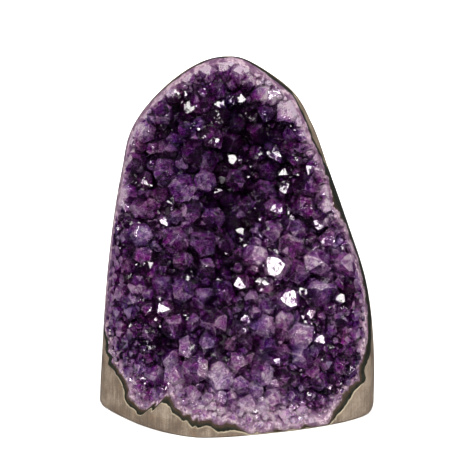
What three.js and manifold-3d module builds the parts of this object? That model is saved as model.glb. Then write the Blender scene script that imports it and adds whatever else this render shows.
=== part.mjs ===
// Amethyst cluster: a piece of basalt sawn flat under its base and ground smooth round its edge,
// with a hollow in front that is lined with quartz and grown over with amethyst crystals.
// Millimetres, +Z up. The hollow faces -Y, and the origin is the middle of the base.
import * as THREE from "three";
import { ParametricGeometry } from "three/addons/geometries/ParametricGeometry.js";
import { mergeVertices } from "three/addons/utils/BufferGeometryUtils.js";
import Module from "manifold-3d";

const wasm = await Module();
wasm.setup();

// The ground block, seen from in front: how far each side stands from the middle at each height.
const HEIGHT = 116;
const LEFT_SIDE = [
  [0, 44.2], [20, 43.4], [42, 43.5], [62, 44.4], [80, 46.5], [94, 49.9], [105, 47.3], [116, 40.9],
];
const RIGHT_SIDE = [
  [0, 48.6], [20, 48.8], [42, 47.8], [62, 44.3], [80, 42.1], [94, 42.3], [105, 41.4], [116, 28.1],
];
const MIDDLE_TO_LEFT = 2.2;
const FRONT_BULGE = 35.4;
const BACK_BULGE = 27;
const LEAN_AT_BASE = 2.4;
const LEAN_TO_TOP = 12;
const BASE_BEVEL = 0.8;
const SIDE_DOME = { fullness: 2.2, power: 0.45 };
const FRONT_DOME = { fullness: 2.3, power: 0.5 };
const BACK_DOME = { fullness: 3, power: 0.5 };

// The block's section, seen from above, as shares of its half width and of its bulge.
// It runs from the left side through the front to the right side, and back behind.
const SECTION = [
  [-1, 0], [-0.985, -0.2], [-0.93, -0.33], [-0.83, -0.5], [-0.68, -0.71], [-0.5, -0.88], [-0.3, -0.985],
  [-0.1, -0.985], [0.15, -0.92], [0.45, -0.81], [0.72, -0.66], [0.9, -0.5], [0.975, -0.33], [1, 0],
  [0.95, 0.42], [0.72, 0.8], [0.3, 0.98], [-0.15, 1], [-0.6, 0.86], [-0.92, 0.5],
];
const SECTION_RIGHT = SECTION.findIndex(([x]) => x === 1);

// The back is left as it broke: its lumps start behind a share of the back bulge and above the base.
const ROUGH_BULGE = [0.2, 0.55];
const ROUGH_HEIGHT = [0, 12];
const LUMP_HEIGHT = 2.1;
const LUMP_LENGTH = 19;

// Waves that make the lumps: how often each repeats along X, Y and Z, where it starts, and its share.
const LUMP_WAVES = [
  { along: [0.9, 0, 0.3], start: 0, share: 0.45 },
  { along: [-0.5, 0, 0.8], start: 1.7, share: 0.45 },
  { along: [1.9, 1, -1.7], start: 3, share: 0.35 },
  { along: [1.9, 0.2, 1.7], start: 6.1, share: -0.35 },
];

// The mouth of the hollow in front view: an angle in degrees, and how far the basalt is from its middle.
// Where that is more than the distance to the block's outline, the hollow opens right through its side.
const MOUTH_MIDDLE = { x: -2, z: 50 };
const MOUTH = [
  [-180, 56], [-165, 50], [-149, 49.1], [-142, 52.3], [-136, 53.2], [-131, 55.5], [-126, 54.9],
  [-122.5, 55.2], [-121.2, 52], [-120, 46.4], [-118, 44.8], [-116, 45.7], [-112, 47.2], [-105, 47.3],
  [-98, 46.9], [-95, 47.6], [-88, 47.2], [-84, 49.6], [-73, 52], [-64, 55.4], [-58, 58.6], [-52, 58.4],
  [-48, 58.3], [-42, 57], [-40, 57.2], [-37, 54.9], [-32, 53.6], [-27, 51.8], [-22, 50.2], [-16, 47.8],
  [-9, 46.4], [5, 44], [20, 42.6], [34, 42.6], [47, 44.9], [59, 50.3], [68, 57], [76, 62.5], [88, 69],
  [124, 72], [150, 64], [180, 56],
];
const WRAP_BEHIND_SIDE = 2.2;
const WRAP_AT_RIND = 0.9;

// How far back the basalt's hollow and the crystals' bed lie in the middle, at each height.
const HOLLOW_FLOOR = [[0, -11], [25, -5], [55, 6.5], [82, 15], [112, 18]];
const BED_FLOOR = [[0, -25], [25, -18], [50, -8], [82, 3.5], [112, 9]];
const HOLLOW_SQUARENESS = 4;
const BED_SQUARENESS = 5;

// The dark rind between basalt and quartz, and the quartz that is ground flush round the mouth:
// thin at the sides and above, thick at the foot.
const RIND_THIN = 1.3;
const RIND_THICK = 2.7;
const RIND_FLOOR = 2.4;
const FLUSH_THIN = 1.6;
const FLUSH_THICK = 6.5;
const FOOT_STARTS = [0.35, 0.85];
const FIT_GAP = 0.3;

// The crystals that show from a step away. Three faces of a tip are large and three are small,
// which is how far each lies out, and the sides lie far out, so that little of them shows.
const CRYSTALS = 95;
const CRYSTAL_HALF_WIDTH = [3.6, 5.2];
const CRYSTAL_SIDES = [1.4, 1.8];
const LARGE_FACE = [0.95, 1.03];
const SMALL_FACE = [1.06, 1.22];
const FACE_TO_AXIS = 51.8;
const CRYSTAL_ROOT = 7;
const CRYSTAL_RISE = 0.5;
const CRYSTAL_TILT = 14;
const BED_UNDER_FEET = 2;

// How the crystals are spread over their bed: as seeds in a sunflower, each pushed a little aside.
const GOLDEN_TURN = 137.508;
const SPREAD_TO = 1.03;
const SPREAD_POWER = 0.46;
const PUSH_ROUND = 30;
const PUSH_OUT = 0.9;
const MORE_SMALL = 1.6;
const PROPERTY = { round: 1, out: 2, tiltX: 3, tiltZ: 4, width: 5, rise: 6, turn: 7, side: 10, face: 20 };

// How finely the surfaces are cut into flat faces: the mouth's wavy foot is the finest.
const BLOCK_SEGMENTS = 40;
const BLOCK_HEIGHTS = [0, 0.007, 0.1, 0.22, 0.35, 0.48, 0.6, 0.71, 0.8, 0.88, 0.94, 0.975, 0.992];
const MOUTH_RINGS = [0.5, 0.82, 1, 1.2];
const FOOT_FROM = -150;
const FOOT_TO = -18;
const FOOT_STEP = 3.3;
const SIDE_STEP = 7.6;
const BED_STEP = 10;
const IN_FRONT_OF_ALL = -90;
const TOP_EDGE = HEIGHT - 0.5;
const AT_SIDE = [0.85, 1];

const radians = THREE.MathUtils.degToRad;
const clamp = THREE.MathUtils.clamp;
const lerp = THREE.MathUtils.lerp;
const smoothstep = THREE.MathUtils.smoothstep;
const between = ([from, to], share) => lerp(from, to, share);

// A smooth curve through [place, value] points, which keeps its end values outside them.
function through(points, place) {
  const last = points.length - 1;
  const at = clamp(place, points[0][0], points[last][0]);
  let i = 0;
  while (i < last - 1 && at >= points[i + 1][0]) i += 1;
  const slope = (k) => (points[k + 1][1] - points[k][1]) / (points[k + 1][0] - points[k][0]);
  const tangent = (k) => (slope(Math.max(k - 1, 0)) + slope(Math.min(k, last - 1))) / 2;
  const span = points[i + 1][0] - points[i][0];
  const t = (at - points[i][0]) / span;
  return (
    (2 * t ** 3 - 3 * t ** 2 + 1) * points[i][1] +
    (t ** 3 - 2 * t ** 2 + t) * span * tangent(i) +
    (3 * t ** 2 - 2 * t ** 3) * points[i + 1][1] +
    (t ** 3 - t ** 2) * span * tangent(i + 1)
  );
}

// A repeatable number from 0 to 1 for one thing and one of its properties.
function chance(thing, property) {
  const n = Math.sin(thing * 12.9898 + property * 78.233) * 43758.5453;
  return n - Math.floor(n);
}

// The block narrows to its top as a dome does.
const dome = (z, { fullness, power }) => Math.max(1 - (z / HEIGHT) ** fullness, 0) ** power;
const leftSide = (z) => dome(z, SIDE_DOME) * through(LEFT_SIDE, z);
const rightSide = (z) => dome(z, SIDE_DOME) * through(RIGHT_SIDE, z);
const middle = (z) => (rightSide(z) - leftSide(z)) / 2 - MIDDLE_TO_LEFT;
const halfWidth = (z) => (rightSide(z) + leftSide(z)) / 2;
const lean = (z) => LEAN_AT_BASE + LEAN_TO_TOP * (z / HEIGHT) ** 1.5;
const frontBulge = (z) => FRONT_BULGE * dome(z, FRONT_DOME);
const backBulge = (z) => BACK_BULGE * dome(z, BACK_DOME);

const section = new THREE.CatmullRomCurve3(
  SECTION.map(([x, y]) => new THREE.Vector3(x, y, 0)),
  true,
  "catmullrom",
  0.5,
);

// The front half of the section, as close points from left to right, to look a depth up by its x.
const FRONT_POINTS = 1200;
const FRONT_HALF = Array.from({ length: FRONT_POINTS + 1 }, (_, i) =>
  section.getPoint((i / FRONT_POINTS) * (SECTION_RIGHT / SECTION.length)),
);

// How deep the block's front face lies at a place in front view.
function blockFront(x, z) {
  const height = clamp(z, 0, TOP_EDGE);
  const share = clamp((x - middle(height)) / halfWidth(height), -1, 1);
  let i = 1;
  while (i < FRONT_HALF.length - 1 && FRONT_HALF[i].x < share) i += 1;
  const [a, b] = [FRONT_HALF[i - 1], FRONT_HALF[i]];
  const y = lerp(a.y, b.y, clamp((share - a.x) / (b.x - a.x), 0, 1));
  return lean(height) + frontBulge(height) * y;
}

// How high the broken rock stands at a place.
function lumps(x, y, z) {
  const turns = (2 * Math.PI) / LUMP_LENGTH;
  const wave = ({ along: [ax, ay, az], start, share }) =>
    share * Math.sin(turns * (ax * x + ay * y + az * z) + start);
  return LUMP_HEIGHT * LUMP_WAVES.reduce((sum, each) => sum + wave(each), 0);
}

// A closed solid from rings of points: ring 0 and the last ring are single points.
function skin(rings, segments, pointAt) {
  const surface = new ParametricGeometry(
    (u, v, target) => {
      const ring = Math.round(v * (rings - 1));
      const around = Math.round(u * segments) % segments;
      target.copy(pointAt(ring, around / segments));
    },
    segments,
    rings - 1,
  );
  return solid(surface);
}

// A manifold solid from a three.js geometry, without the faces that have no area.
function solid(geometry) {
  const bare = new THREE.BufferGeometry().setAttribute("position", geometry.getAttribute("position"));
  bare.setIndex(geometry.index);
  const merged = mergeVertices(bare, 1e-4);
  const corners = [];
  for (let i = 0; i < merged.index.count; i += 3) {
    const [a, b, c] = [0, 1, 2].map((k) => merged.index.getX(i + k));
    if (a !== b && b !== c && c !== a) corners.push(a, b, c);
  }
  const mesh = new wasm.Mesh({
    numProp: 3,
    vertProperties: merged.attributes.position.array,
    triVerts: new Uint32Array(corners),
  });
  return new wasm.Manifold(mesh);
}

// The whole block before it is hollowed: a loft of its section, with a small bevel round the base.
function block() {
  const rings = BLOCK_HEIGHTS.length + 2;
  return skin(rings, BLOCK_SEGMENTS, (ring, turn) => {
    if (ring === 0) return new THREE.Vector3(0, 0, 0);
    if (ring === rings - 1) return new THREE.Vector3(middle(HEIGHT), lean(HEIGHT), HEIGHT);
    const share = BLOCK_HEIGHTS[ring - 1];
    const z = share * HEIGHT;
    const p = section.getPoint(turn);
    const bevel = ring === 1 ? BASE_BEVEL : 0;
    const x = middle(z) + (halfWidth(z) - bevel) * p.x;
    const y = lean(z) + ((p.y < 0 ? frontBulge(z) : backBulge(z)) - bevel) * p.y;
    const rough = smoothstep(p.y, ...ROUGH_BULGE) * smoothstep(z, ...ROUGH_HEIGHT);
    const out = new THREE.Vector3(p.x, p.y, 0).normalize();
    return new THREE.Vector3(x, y, z).addScaledVector(out, rough * lumps(x, y, z));
  });
}

// Angles round the mouth, a step apart.
const angles = (from, to, step) =>
  Array.from({ length: Math.round((to - from) / step) }, (_, i) => from + i * step);
const MOUTH_ANGLES = [
  ...angles(FOOT_FROM, FOOT_TO, FOOT_STEP),
  ...angles(FOOT_TO, FOOT_FROM + 360, SIDE_STEP),
];
const BED_ANGLES = angles(-180, 180, BED_STEP);

// How far the block's outline in front view is from the mouth's middle, at an angle.
function outlineAt(angle) {
  let [inside, outside] = [0, HEIGHT];
  while (outside - inside > 1e-4) {
    const reach = (inside + outside) / 2;
    const [x, z] = inFrontView(angle, reach);
    if (z > 0 && z < HEIGHT && Math.abs(x - middle(z)) < halfWidth(z)) inside = reach;
    else outside = reach;
  }
  return inside;
}

// The mouth's table runs from -180 to 180 degrees.
const wrapped = (angle) => THREE.MathUtils.euclideanModulo(angle + 180, 360) - 180;
const mouthAt = (angle) => Math.min(through(MOUTH, wrapped(angle)), outlineAt(angle));

// How much a place round the mouth has of the wide, ground foot: 1 below, 0 at the sides and above.
const footShare = (angle) => smoothstep(-Math.sin(radians(angle)), ...FOOT_STARTS);
const rindWidth = (angle) => lerp(RIND_THIN, RIND_THICK, footShare(angle));
const flushWidth = (angle) => lerp(FLUSH_THIN, FLUSH_THICK, footShare(angle));

// A place in front view, by its angle from the mouth's middle and its distance.
const inFrontView = (angle, distance) => [
  MOUTH_MIDDLE.x + distance * Math.cos(radians(angle)),
  MOUTH_MIDDLE.z + distance * Math.sin(radians(angle)),
];

// A surface that lines the hollow: its floor in the middle, and the block's own face at its edge.
// Beyond its edge it runs on forwards, out of the block. A gap moves the whole of it inwards.
function lining({ inset, floor, squareness, behind }, gap = 0) {
  return (angle, share) => {
    const edge = mouthAt(angle) - inset(angle);
    const [x, z] = inFrontView(angle, share * (edge - gap));
    const [edgeX, edgeZ] = inFrontView(angle, edge);
    const height = clamp(edgeZ, 0, TOP_EDGE);
    const toSide = Math.abs(edgeX - middle(height)) / halfWidth(height);
    const rim = blockFront(edgeX, edgeZ) + behind * smoothstep(toSide, ...AT_SIDE);
    return new THREE.Vector3(x, lerp(through(floor, z), rim, share ** squareness) - gap, z);
  };
}

// Everything in front of a lining, as one closed solid with corners at a list of angles.
function inFrontOf(surface, corners = MOUTH_ANGLES) {
  const rings = MOUTH_RINGS.length + 3;
  return skin(rings, corners.length, (ring, turn) => {
    const angle = corners[Math.round(turn * corners.length)];
    if (ring === 0) return surface(angle, 0);
    if (ring === rings - 1) return new THREE.Vector3(MOUTH_MIDDLE.x, IN_FRONT_OF_ALL, MOUTH_MIDDLE.z);
    const point = surface(angle, MOUTH_RINGS[Math.min(ring, MOUTH_RINGS.length) - 1]);
    if (ring > MOUTH_RINGS.length) point.y = IN_FRONT_OF_ALL;
    return point;
  });
}

const forward = (floor, by) => floor.map(([z, y]) => [z, y - by]);

// The hollow's wall in the basalt, the rind's front and the bed from which the crystals grow.
const HOLLOW = {
  inset: () => 0,
  floor: HOLLOW_FLOOR,
  squareness: HOLLOW_SQUARENESS,
  behind: WRAP_BEHIND_SIDE,
};
const RIND = {
  ...HOLLOW,
  inset: rindWidth,
  floor: forward(HOLLOW_FLOOR, RIND_FLOOR),
  behind: WRAP_AT_RIND,
};
const FEET = {
  inset: (angle) => rindWidth(angle) + flushWidth(angle),
  floor: BED_FLOOR,
  squareness: BED_SQUARENESS,
  behind: 0,
};
const BED = { ...FEET, floor: forward(BED_FLOOR, -BED_UNDER_FEET) };
const footAt = lining(FEET);

// One crystal: six sides, and six sloping faces that meet at its tip.
// Its tip points along +Z, and its faces run down to about z = 0 at its half width.
function crystal(n, halfWide) {
  const slope = radians(FACE_TO_AXIS);
  const planes = [[new THREE.Vector3(0, 0, -1), CRYSTAL_ROOT]];
  for (let k = 0; k < 6; k += 1) {
    const turn = (k * Math.PI) / 3;
    const side = new THREE.Vector3(Math.cos(turn), Math.sin(turn), 0);
    const face = side.clone().multiplyScalar(Math.sin(slope)).setZ(Math.cos(slope));
    const faceOut = between(k % 2 ? SMALL_FACE : LARGE_FACE, chance(n, PROPERTY.face + k));
    planes.push([side, halfWide * between(CRYSTAL_SIDES, chance(n, PROPERTY.side + k))]);
    planes.push([face, halfWide * Math.sin(slope) * faceOut]);
  }
  return behindPlanes(planes);
}

// The solid that lies behind every one of a list of [normal, distance] planes.
function behindPlanes(planes) {
  const corners = [];
  const [ab, bc, ca] = [new THREE.Vector3(), new THREE.Vector3(), new THREE.Vector3()];
  for (let i = 0; i < planes.length; i += 1) {
    for (let j = i + 1; j < planes.length; j += 1) {
      for (let k = j + 1; k < planes.length; k += 1) {
        const [[a, da], [b, db], [c, dc]] = [planes[i], planes[j], planes[k]];
        const volume = a.dot(bc.crossVectors(b, c));
        if (Math.abs(volume) < 1e-6) continue;
        const place = bc.clone().multiplyScalar(da);
        place.addScaledVector(ca.crossVectors(c, a), db).addScaledVector(ab.crossVectors(a, b), dc);
        place.divideScalar(volume);
        if (planes.some(([normal, distance]) => normal.dot(place) > distance + 1e-6)) continue;
        const known = corners.find((corner) => corner.place.distanceTo(place) < 1e-3);
        if (known) [i, j, k].forEach((plane) => known.on.add(plane));
        else corners.push({ place, on: new Set([i, j, k]) });
      }
    }
  }
  const points = [];
  planes.forEach(([normal], plane) => {
    const face = corners.filter((corner) => corner.on.has(plane)).map((corner) => corner.place);
    if (face.length < 3) return;
    const centre = new THREE.Vector3();
    face.forEach((corner) => centre.addScaledVector(corner, 1 / face.length));
    const right = face[0].clone().sub(centre).normalize();
    const up = new THREE.Vector3().crossVectors(normal, right);
    const around = (corner) => {
      const arm = corner.clone().sub(centre);
      return Math.atan2(arm.dot(up), arm.dot(right));
    };
    face.sort((p, q) => around(p) - around(q));
    for (let i = 1; i < face.length - 1; i += 1) points.push(face[0], face[i], face[i + 1]);
  });
  return new THREE.BufferGeometry().setFromPoints(points);
}

// Crystal n of the crust, where it grew: its axis stands nearly square to its bed.
function plantedCrystal(n) {
  const push = (property) => chance(n, property) - 0.5;
  const angle = wrapped(n * GOLDEN_TURN + PUSH_ROUND * push(PROPERTY.round) - 180);
  const share = SPREAD_TO * ((n + 0.6 + PUSH_OUT * push(PROPERTY.out)) / CRYSTALS) ** SPREAD_POWER;
  const foot = footAt(angle, share);
  const outwards = footAt(angle, share + 0.01).sub(foot);
  const onwards = footAt(angle + 1, share).sub(foot);
  const axis = outwards.cross(onwards).normalize();
  const tilt = 2 * radians(CRYSTAL_TILT);
  axis.add(new THREE.Vector3(tilt * push(PROPERTY.tiltX), 0, tilt * push(PROPERTY.tiltZ))).normalize();
  const halfWide = between(CRYSTAL_HALF_WIDTH, chance(n, PROPERTY.width) ** MORE_SMALL);
  const up = new THREE.Vector3(0, 0, 1);
  const turned = new THREE.Quaternion()
    .setFromUnitVectors(up, axis)
    .multiply(new THREE.Quaternion().setFromAxisAngle(up, Math.PI * chance(n, PROPERTY.turn)));
  const place = foot.addScaledVector(axis, CRYSTAL_RISE * halfWide * chance(n, PROPERTY.rise));
  return solid(crystal(n, halfWide).applyQuaternion(turned).translate(...place));
}

// The crust: quartz on the rind, with the crystals grown together on its bed and ground flush round them.
function crust(whole) {
  const crystals = Array.from({ length: CRYSTALS }, (_, n) => plantedCrystal(n));
  const air = inFrontOf(lining(BED), BED_ANGLES).subtract(wasm.Manifold.union(crystals));
  const grown = inFrontOf(lining(RIND, FIT_GAP)).intersect(whole).subtract(air);
  return grown.decompose().reduce((most, body) => (body.volume() > most.volume() ? body : most));
}

// A named mesh of a solid, with its own finish.
function named(name, made, colour, roughness) {
  const { vertProperties, triVerts, numProp } = made.getMesh();
  const geometry = new THREE.BufferGeometry();
  geometry.setAttribute("position", new THREE.BufferAttribute(vertProperties, numProp));
  geometry.setIndex(new THREE.BufferAttribute(triVerts, 1));
  const material = new THREE.MeshStandardMaterial({ color: colour, roughness, metalness: 0 });
  const mesh = new THREE.Mesh(geometry, material);
  mesh.name = name;
  return mesh;
}

const whole = block();
const basalt = whole.subtract(inFrontOf(lining(HOLLOW)));
const rind = inFrontOf(lining(HOLLOW, FIT_GAP)).intersect(whole).subtract(inFrontOf(lining(RIND)));

const cluster = new THREE.Group();
cluster.add(named("basalt_matrix", basalt, 0x8b7f6e, 0.55));
cluster.add(named("dark_rind", rind, 0x2c2f27, 0.4));
cluster.add(named("amethyst_crust", crust(whole), 0x5a2d86, 0.12));

export default cluster;
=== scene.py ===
import logging
import math
from dataclasses import dataclass, field
from enum import Enum
from functools import cached_property
from itertools import combinations, product
from typing import Callable, Iterable, Sequence

import bpy
import numpy as np
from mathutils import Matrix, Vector


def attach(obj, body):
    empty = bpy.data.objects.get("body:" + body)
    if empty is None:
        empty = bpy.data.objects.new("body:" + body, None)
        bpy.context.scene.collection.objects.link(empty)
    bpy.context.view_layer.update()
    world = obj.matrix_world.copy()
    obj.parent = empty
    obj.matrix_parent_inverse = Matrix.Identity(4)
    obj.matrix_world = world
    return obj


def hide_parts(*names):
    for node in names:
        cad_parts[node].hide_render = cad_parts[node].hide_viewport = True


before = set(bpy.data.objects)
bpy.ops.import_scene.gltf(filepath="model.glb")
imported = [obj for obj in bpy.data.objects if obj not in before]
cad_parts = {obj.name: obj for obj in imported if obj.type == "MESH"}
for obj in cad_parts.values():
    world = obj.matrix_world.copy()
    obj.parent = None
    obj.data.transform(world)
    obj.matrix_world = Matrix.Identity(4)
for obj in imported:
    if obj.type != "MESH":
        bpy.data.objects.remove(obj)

log = logging.getLogger("amethyst_cluster")
Array = np.ndarray
Colour = tuple[float, float, float]
MM = 0.001
BODY = "root"
FAR = 9.0
QUARTZ_IOR = 1.544


def smoothstep(value: Array, low: float, high: float) -> Array:
    """Rises smoothly from 0 at low to 1 at high: 3 t squared minus 2 t cubed.

    Args:
        value: The numbers to map.
        low: Where the rise starts.
        high: Where the rise ends.

    Returns:
        Numbers from 0 to 1.
    """
    t = np.clip((value - low) / (high - low), 0.0, 1.0)
    return t * t * (3.0 - 2.0 * t)


def unit(vectors: Array) -> Array:
    """Vectors of length 1 that point the same ways."""
    return vectors / np.linalg.norm(vectors, axis=-1, keepdims=True)


@dataclass(frozen=True)
class Rise:
    """A number that rises smoothly from 0 to a height, as a value goes from a start to an end."""

    height: float
    start: float
    end: float

    def at(self, value: Array) -> Array:
        """The number at a value."""
        return self.height * smoothstep(value, self.start, self.end)


@dataclass(frozen=True)
class Curve:
    """A smooth curve through places and values, level outside its ends."""

    places: tuple[float, ...]
    values: tuple[float, ...]

    @classmethod
    def through(cls, *points: tuple[float, float]) -> "Curve":
        """The curve through points, each a place and a value."""
        places, values = zip(*points)
        return cls(places, values)

    def raised(self, by: float) -> "Curve":
        """The same curve with every value higher by a number."""
        return Curve(self.places, tuple(value + by for value in self.values))

    def at(self, place: Array) -> Array:
        """The curve's height: cubic Hermite pieces whose slopes are the mean of the two next to each point.

        Args:
            place: Where the curve is read.

        Returns:
            The values there.
        """
        x, y = np.array(self.places), np.array(self.values)
        last = len(x) - 1
        at = np.clip(place, x[0], x[-1])
        i = np.clip(np.searchsorted(x, at, side="right") - 1, 0, last - 1)
        slope = np.diff(y) / np.diff(x)
        before = (slope[np.maximum(i - 1, 0)] + slope[i]) / 2
        after = (slope[i] + slope[np.minimum(i + 1, last - 1)]) / 2
        span = x[i + 1] - x[i]
        t = (at - x[i]) / span
        return (
            (2 * t**3 - 3 * t**2 + 1) * y[i]
            + (t**3 - 2 * t**2 + t) * span * before
            + (3 * t**2 - 2 * t**3) * y[i + 1]
            + (t**3 - t**2) * span * after
        )


@dataclass(frozen=True)
class LatticeNoise:
    """Repeatable smooth noise: a mixed-up number at each corner of a cubic lattice, blended in between."""

    seed: int
    shift: float = 17.3

    def corner(self, cell: Array) -> Array:
        """The number from -1 to 1 at whole lattice places, from their bits mixed by odd multipliers.

        Args:
            cell: The places.

        Returns:
            The numbers.
        """
        bits = cell.astype(np.int64).view(np.uint64)
        mixed = bits[..., 0] * np.uint64(73856093) ^ bits[..., 1] * np.uint64(19349663)
        mixed ^= bits[..., 2] * np.uint64(83492791) ^ np.uint64(self.seed * 2654435761)
        for shift, odd in ((15, 2246822519), (13, 3266489917)):
            mixed = (mixed ^ (mixed >> np.uint64(shift))) * np.uint64(odd) & np.uint64(0xFFFFFFFF)
        return ((mixed >> np.uint64(8)) & np.uint64(0xFFFFFF)).astype(float) / 0x7FFFFF - 1.0

    def at(self, points: Array, size: float) -> Array:
        """One layer of noise, by blending the eight corners of each point's cell.

        Args:
            points: Places, with X, Y and Z last.
            size: The lattice's pitch.

        Returns:
            Numbers from -1 to 1.
        """
        scaled = points / size
        cell = np.floor(scaled)
        inside = scaled - cell
        share = inside * inside * (3.0 - 2.0 * inside)
        total = np.zeros(points.shape[:-1])
        for step in product((0, 1), repeat=3):
            weight = np.prod(np.where(step, share, 1.0 - share), axis=-1)
            total += weight * self.corner(cell + step)
        return total

    def layers(self, points: Array, size: float, count: int) -> Array:
        """Layers of noise, each half as large and half as high as the one before."""
        return sum(0.5**k * self.at(points + self.shift * k, size * 0.5**k) for k in range(count))


@dataclass(frozen=True)
class GroundBlock:
    """The whole block before it is hollowed: its outline in front view, its section and its rough back."""

    height: float = 116.0
    left_side: Curve = Curve.through(
        (0, 44.2), (20, 43.4), (42, 43.5), (62, 44.4), (80, 46.5), (94, 49.9), (105, 47.3), (116, 40.9),
    )
    right_side: Curve = Curve.through(
        (0, 48.6), (20, 48.8), (42, 47.8), (62, 44.3), (80, 42.1), (94, 42.3), (105, 41.4), (116, 28.1),
    )
    middle_to_left: float = 2.2
    side_dome: tuple[float, float] = (2.2, 0.45)
    front_bulge: float = 35.4
    front_dome: tuple[float, float] = (2.3, 0.5)
    back_bulge: float = 27.0
    back_dome: tuple[float, float] = (3.0, 0.5)
    lean_at_base: float = 2.4
    lean_to_top: float = 12.0
    lean_power: float = 1.5
    under_top: float = 0.15
    crowding_to_top: float = 1.8
    base_bevel: float = 0.8
    section_points: tuple[tuple[float, float], ...] = (
        (-1, 0), (-0.985, -0.2), (-0.93, -0.33), (-0.83, -0.5), (-0.68, -0.71), (-0.5, -0.88),
        (-0.3, -0.985), (-0.1, -0.985), (0.15, -0.92), (0.45, -0.81), (0.72, -0.66), (0.9, -0.5),
        (0.975, -0.33), (1, 0), (0.95, 0.42), (0.72, 0.8), (0.3, 0.98), (-0.15, 1), (-0.6, 0.86),
        (-0.92, 0.5),
    )
    section_right: int = 13
    rough_bulge: tuple[float, float] = (0.4, 0.85)
    rough_height: tuple[float, float] = (0.0, 12.0)
    rough_top: tuple[float, float] = (100.0, 113.0)
    lump_height: float = 1.7
    lump_length: float = 19.0
    lump_waves: tuple[tuple[float, float, float, float, float], ...] = (
        (0.9, 0, 0.3, 0, 0.45),
        (-0.5, 0, 0.8, 1.7, 0.45),
        (1.9, 1, -1.7, 3, 0.35),
        (1.9, 0.2, 1.7, 6.1, -0.35),
    )

    def dome(self, z: Array, fullness: float, power: float) -> Array:
        """The share of its width left at a height: 1 less the height's share to a power, to a power."""
        return np.clip(1.0 - np.clip(z / self.height, 0, 1) ** fullness, 0.0, 1.0) ** power

    def left(self, z: Array) -> Array:
        """How far the left side stands from the middle."""
        return self.dome(z, *self.side_dome) * self.left_side.at(z)

    def right(self, z: Array) -> Array:
        """How far the right side stands from the middle."""
        return self.dome(z, *self.side_dome) * self.right_side.at(z)

    def middle(self, z: Array) -> Array:
        """The X half way between the sides."""
        return (self.right(z) - self.left(z)) / 2 - self.middle_to_left

    def half_width(self, z: Array) -> Array:
        """Half the distance between the sides."""
        return (self.right(z) + self.left(z)) / 2

    def lean(self, z: Array) -> Array:
        """The Y of the block's widest line, which leans back towards its top."""
        return self.lean_at_base + self.lean_to_top * np.clip(z / self.height, 0, 1) ** self.lean_power

    def front(self, z: Array) -> Array:
        """How far the front stands before the widest line."""
        return self.front_bulge * self.dome(z, *self.front_dome)

    def back(self, z: Array) -> Array:
        """How far the back stands behind the widest line."""
        return self.back_bulge * self.dome(z, *self.back_dome)

    def section(self, turn: Array) -> Array:
        """The section seen from above: a closed cubic whose slope at each point is half the step past it.

        Args:
            turn: The share of the way round, from the left side through the front.

        Returns:
            Places as shares of the half width and of the bulge.
        """
        points = np.array(self.section_points, float)
        count = len(points)
        whole = np.floor(turn * count).astype(int)
        t = (turn * count - whole)[..., None]
        a, b, c, d = (points[(whole + k) % count] for k in (-1, 0, 1, 2))
        square, cube = 2 * a - 5 * b + 4 * c - d, 3 * b - a - 3 * c + d
        return 0.5 * (2 * b + (c - a) * t + square * t**2 + cube * t**3)

    @cached_property
    def front_half(self) -> Array:
        """Close points of the section's front half, from left to right."""
        return self.section(np.linspace(0, self.section_right / len(self.section_points), 2401))

    def front_depth(self, x: Array, z: Array) -> Array:
        """The Y of the block's ground front at a place in front view."""
        z = np.clip(z, 0, self.height - self.under_top)
        share = np.clip((x - self.middle(z)) / self.half_width(z), -1, 1)
        return self.lean(z) + self.front(z) * np.interp(share, self.front_half[:, 0], self.front_half[:, 1])

    def lumps(self, points: Array) -> Array:
        """How high the broken rock stands: the sum of slanting waves."""
        turns = 2 * math.pi / self.lump_length
        waves = (
            share * np.sin(turns * (points @ np.array([x, y, z])) + start)
            for x, y, z, start, share in self.lump_waves
        )
        return self.lump_height * sum(waves)

    def roughness(self, section: Array, z: Array) -> Array:
        """1 on the broken back, 0 on the ground front and sides, at the base and at the top."""
        low = smoothstep(z, *self.rough_height) * (1 - smoothstep(z, *self.rough_top))
        return smoothstep(section[..., 1], *self.rough_bulge) * low

    def rings(self, heights: int, turns: int, inset: float, grain: Callable[[Array], Array]) -> Array:
        """The block's skin from its base to just under its top.

        A ring is the section, as wide and as deep as the block is at its height. It is drawn in at the
        base by a round bevel, and pushed out behind by the lumps and a finer grain.

        Args:
            heights: How many rings there are above the bevel.
            turns: How many points a ring has.
            inset: How much smaller than the block it is.
            grain: The finer relief of the broken rock at points.

        Returns:
            An array of rings, points and coordinates.
        """
        corner = np.radians([0, 22.5, 45, 67.5])
        rise = 1 - (1 - np.linspace(0, 1, heights + 1)[:-1]) ** self.crowding_to_top
        bevel_z = self.base_bevel * (1 - np.cos(corner))
        z = np.concatenate([bevel_z, self.base_bevel + (self.height - self.base_bevel) * rise])[:, None]
        bevel_in = self.base_bevel * (1 - np.sin(corner))
        drawn_in = np.concatenate([bevel_in, np.zeros(heights)])[:, None] + inset
        section = self.section(np.arange(turns) / turns)[None]
        bulge = np.where(section[..., 1] < 0, self.front(z), self.back(z))
        x = self.middle(z) + (self.half_width(z) - drawn_in) * section[..., 0]
        y = self.lean(z) + (bulge - drawn_in) * section[..., 1]
        height = inset + z * (1 - 2 * inset / self.height)
        points = np.stack([x, y, np.broadcast_to(height, x.shape)], axis=-1)
        out = np.concatenate([unit(section), np.zeros((1, turns, 1))], axis=-1)
        rough = self.roughness(section, z)
        return points + out * (rough * (self.lumps(points) + grain(points)))[..., None]


@dataclass(frozen=True)
class Waver:
    """How a line or a width wavers round the mouth: how much, over how many millimetres, in which lane."""

    amount: float
    size: float
    lane: float


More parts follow.
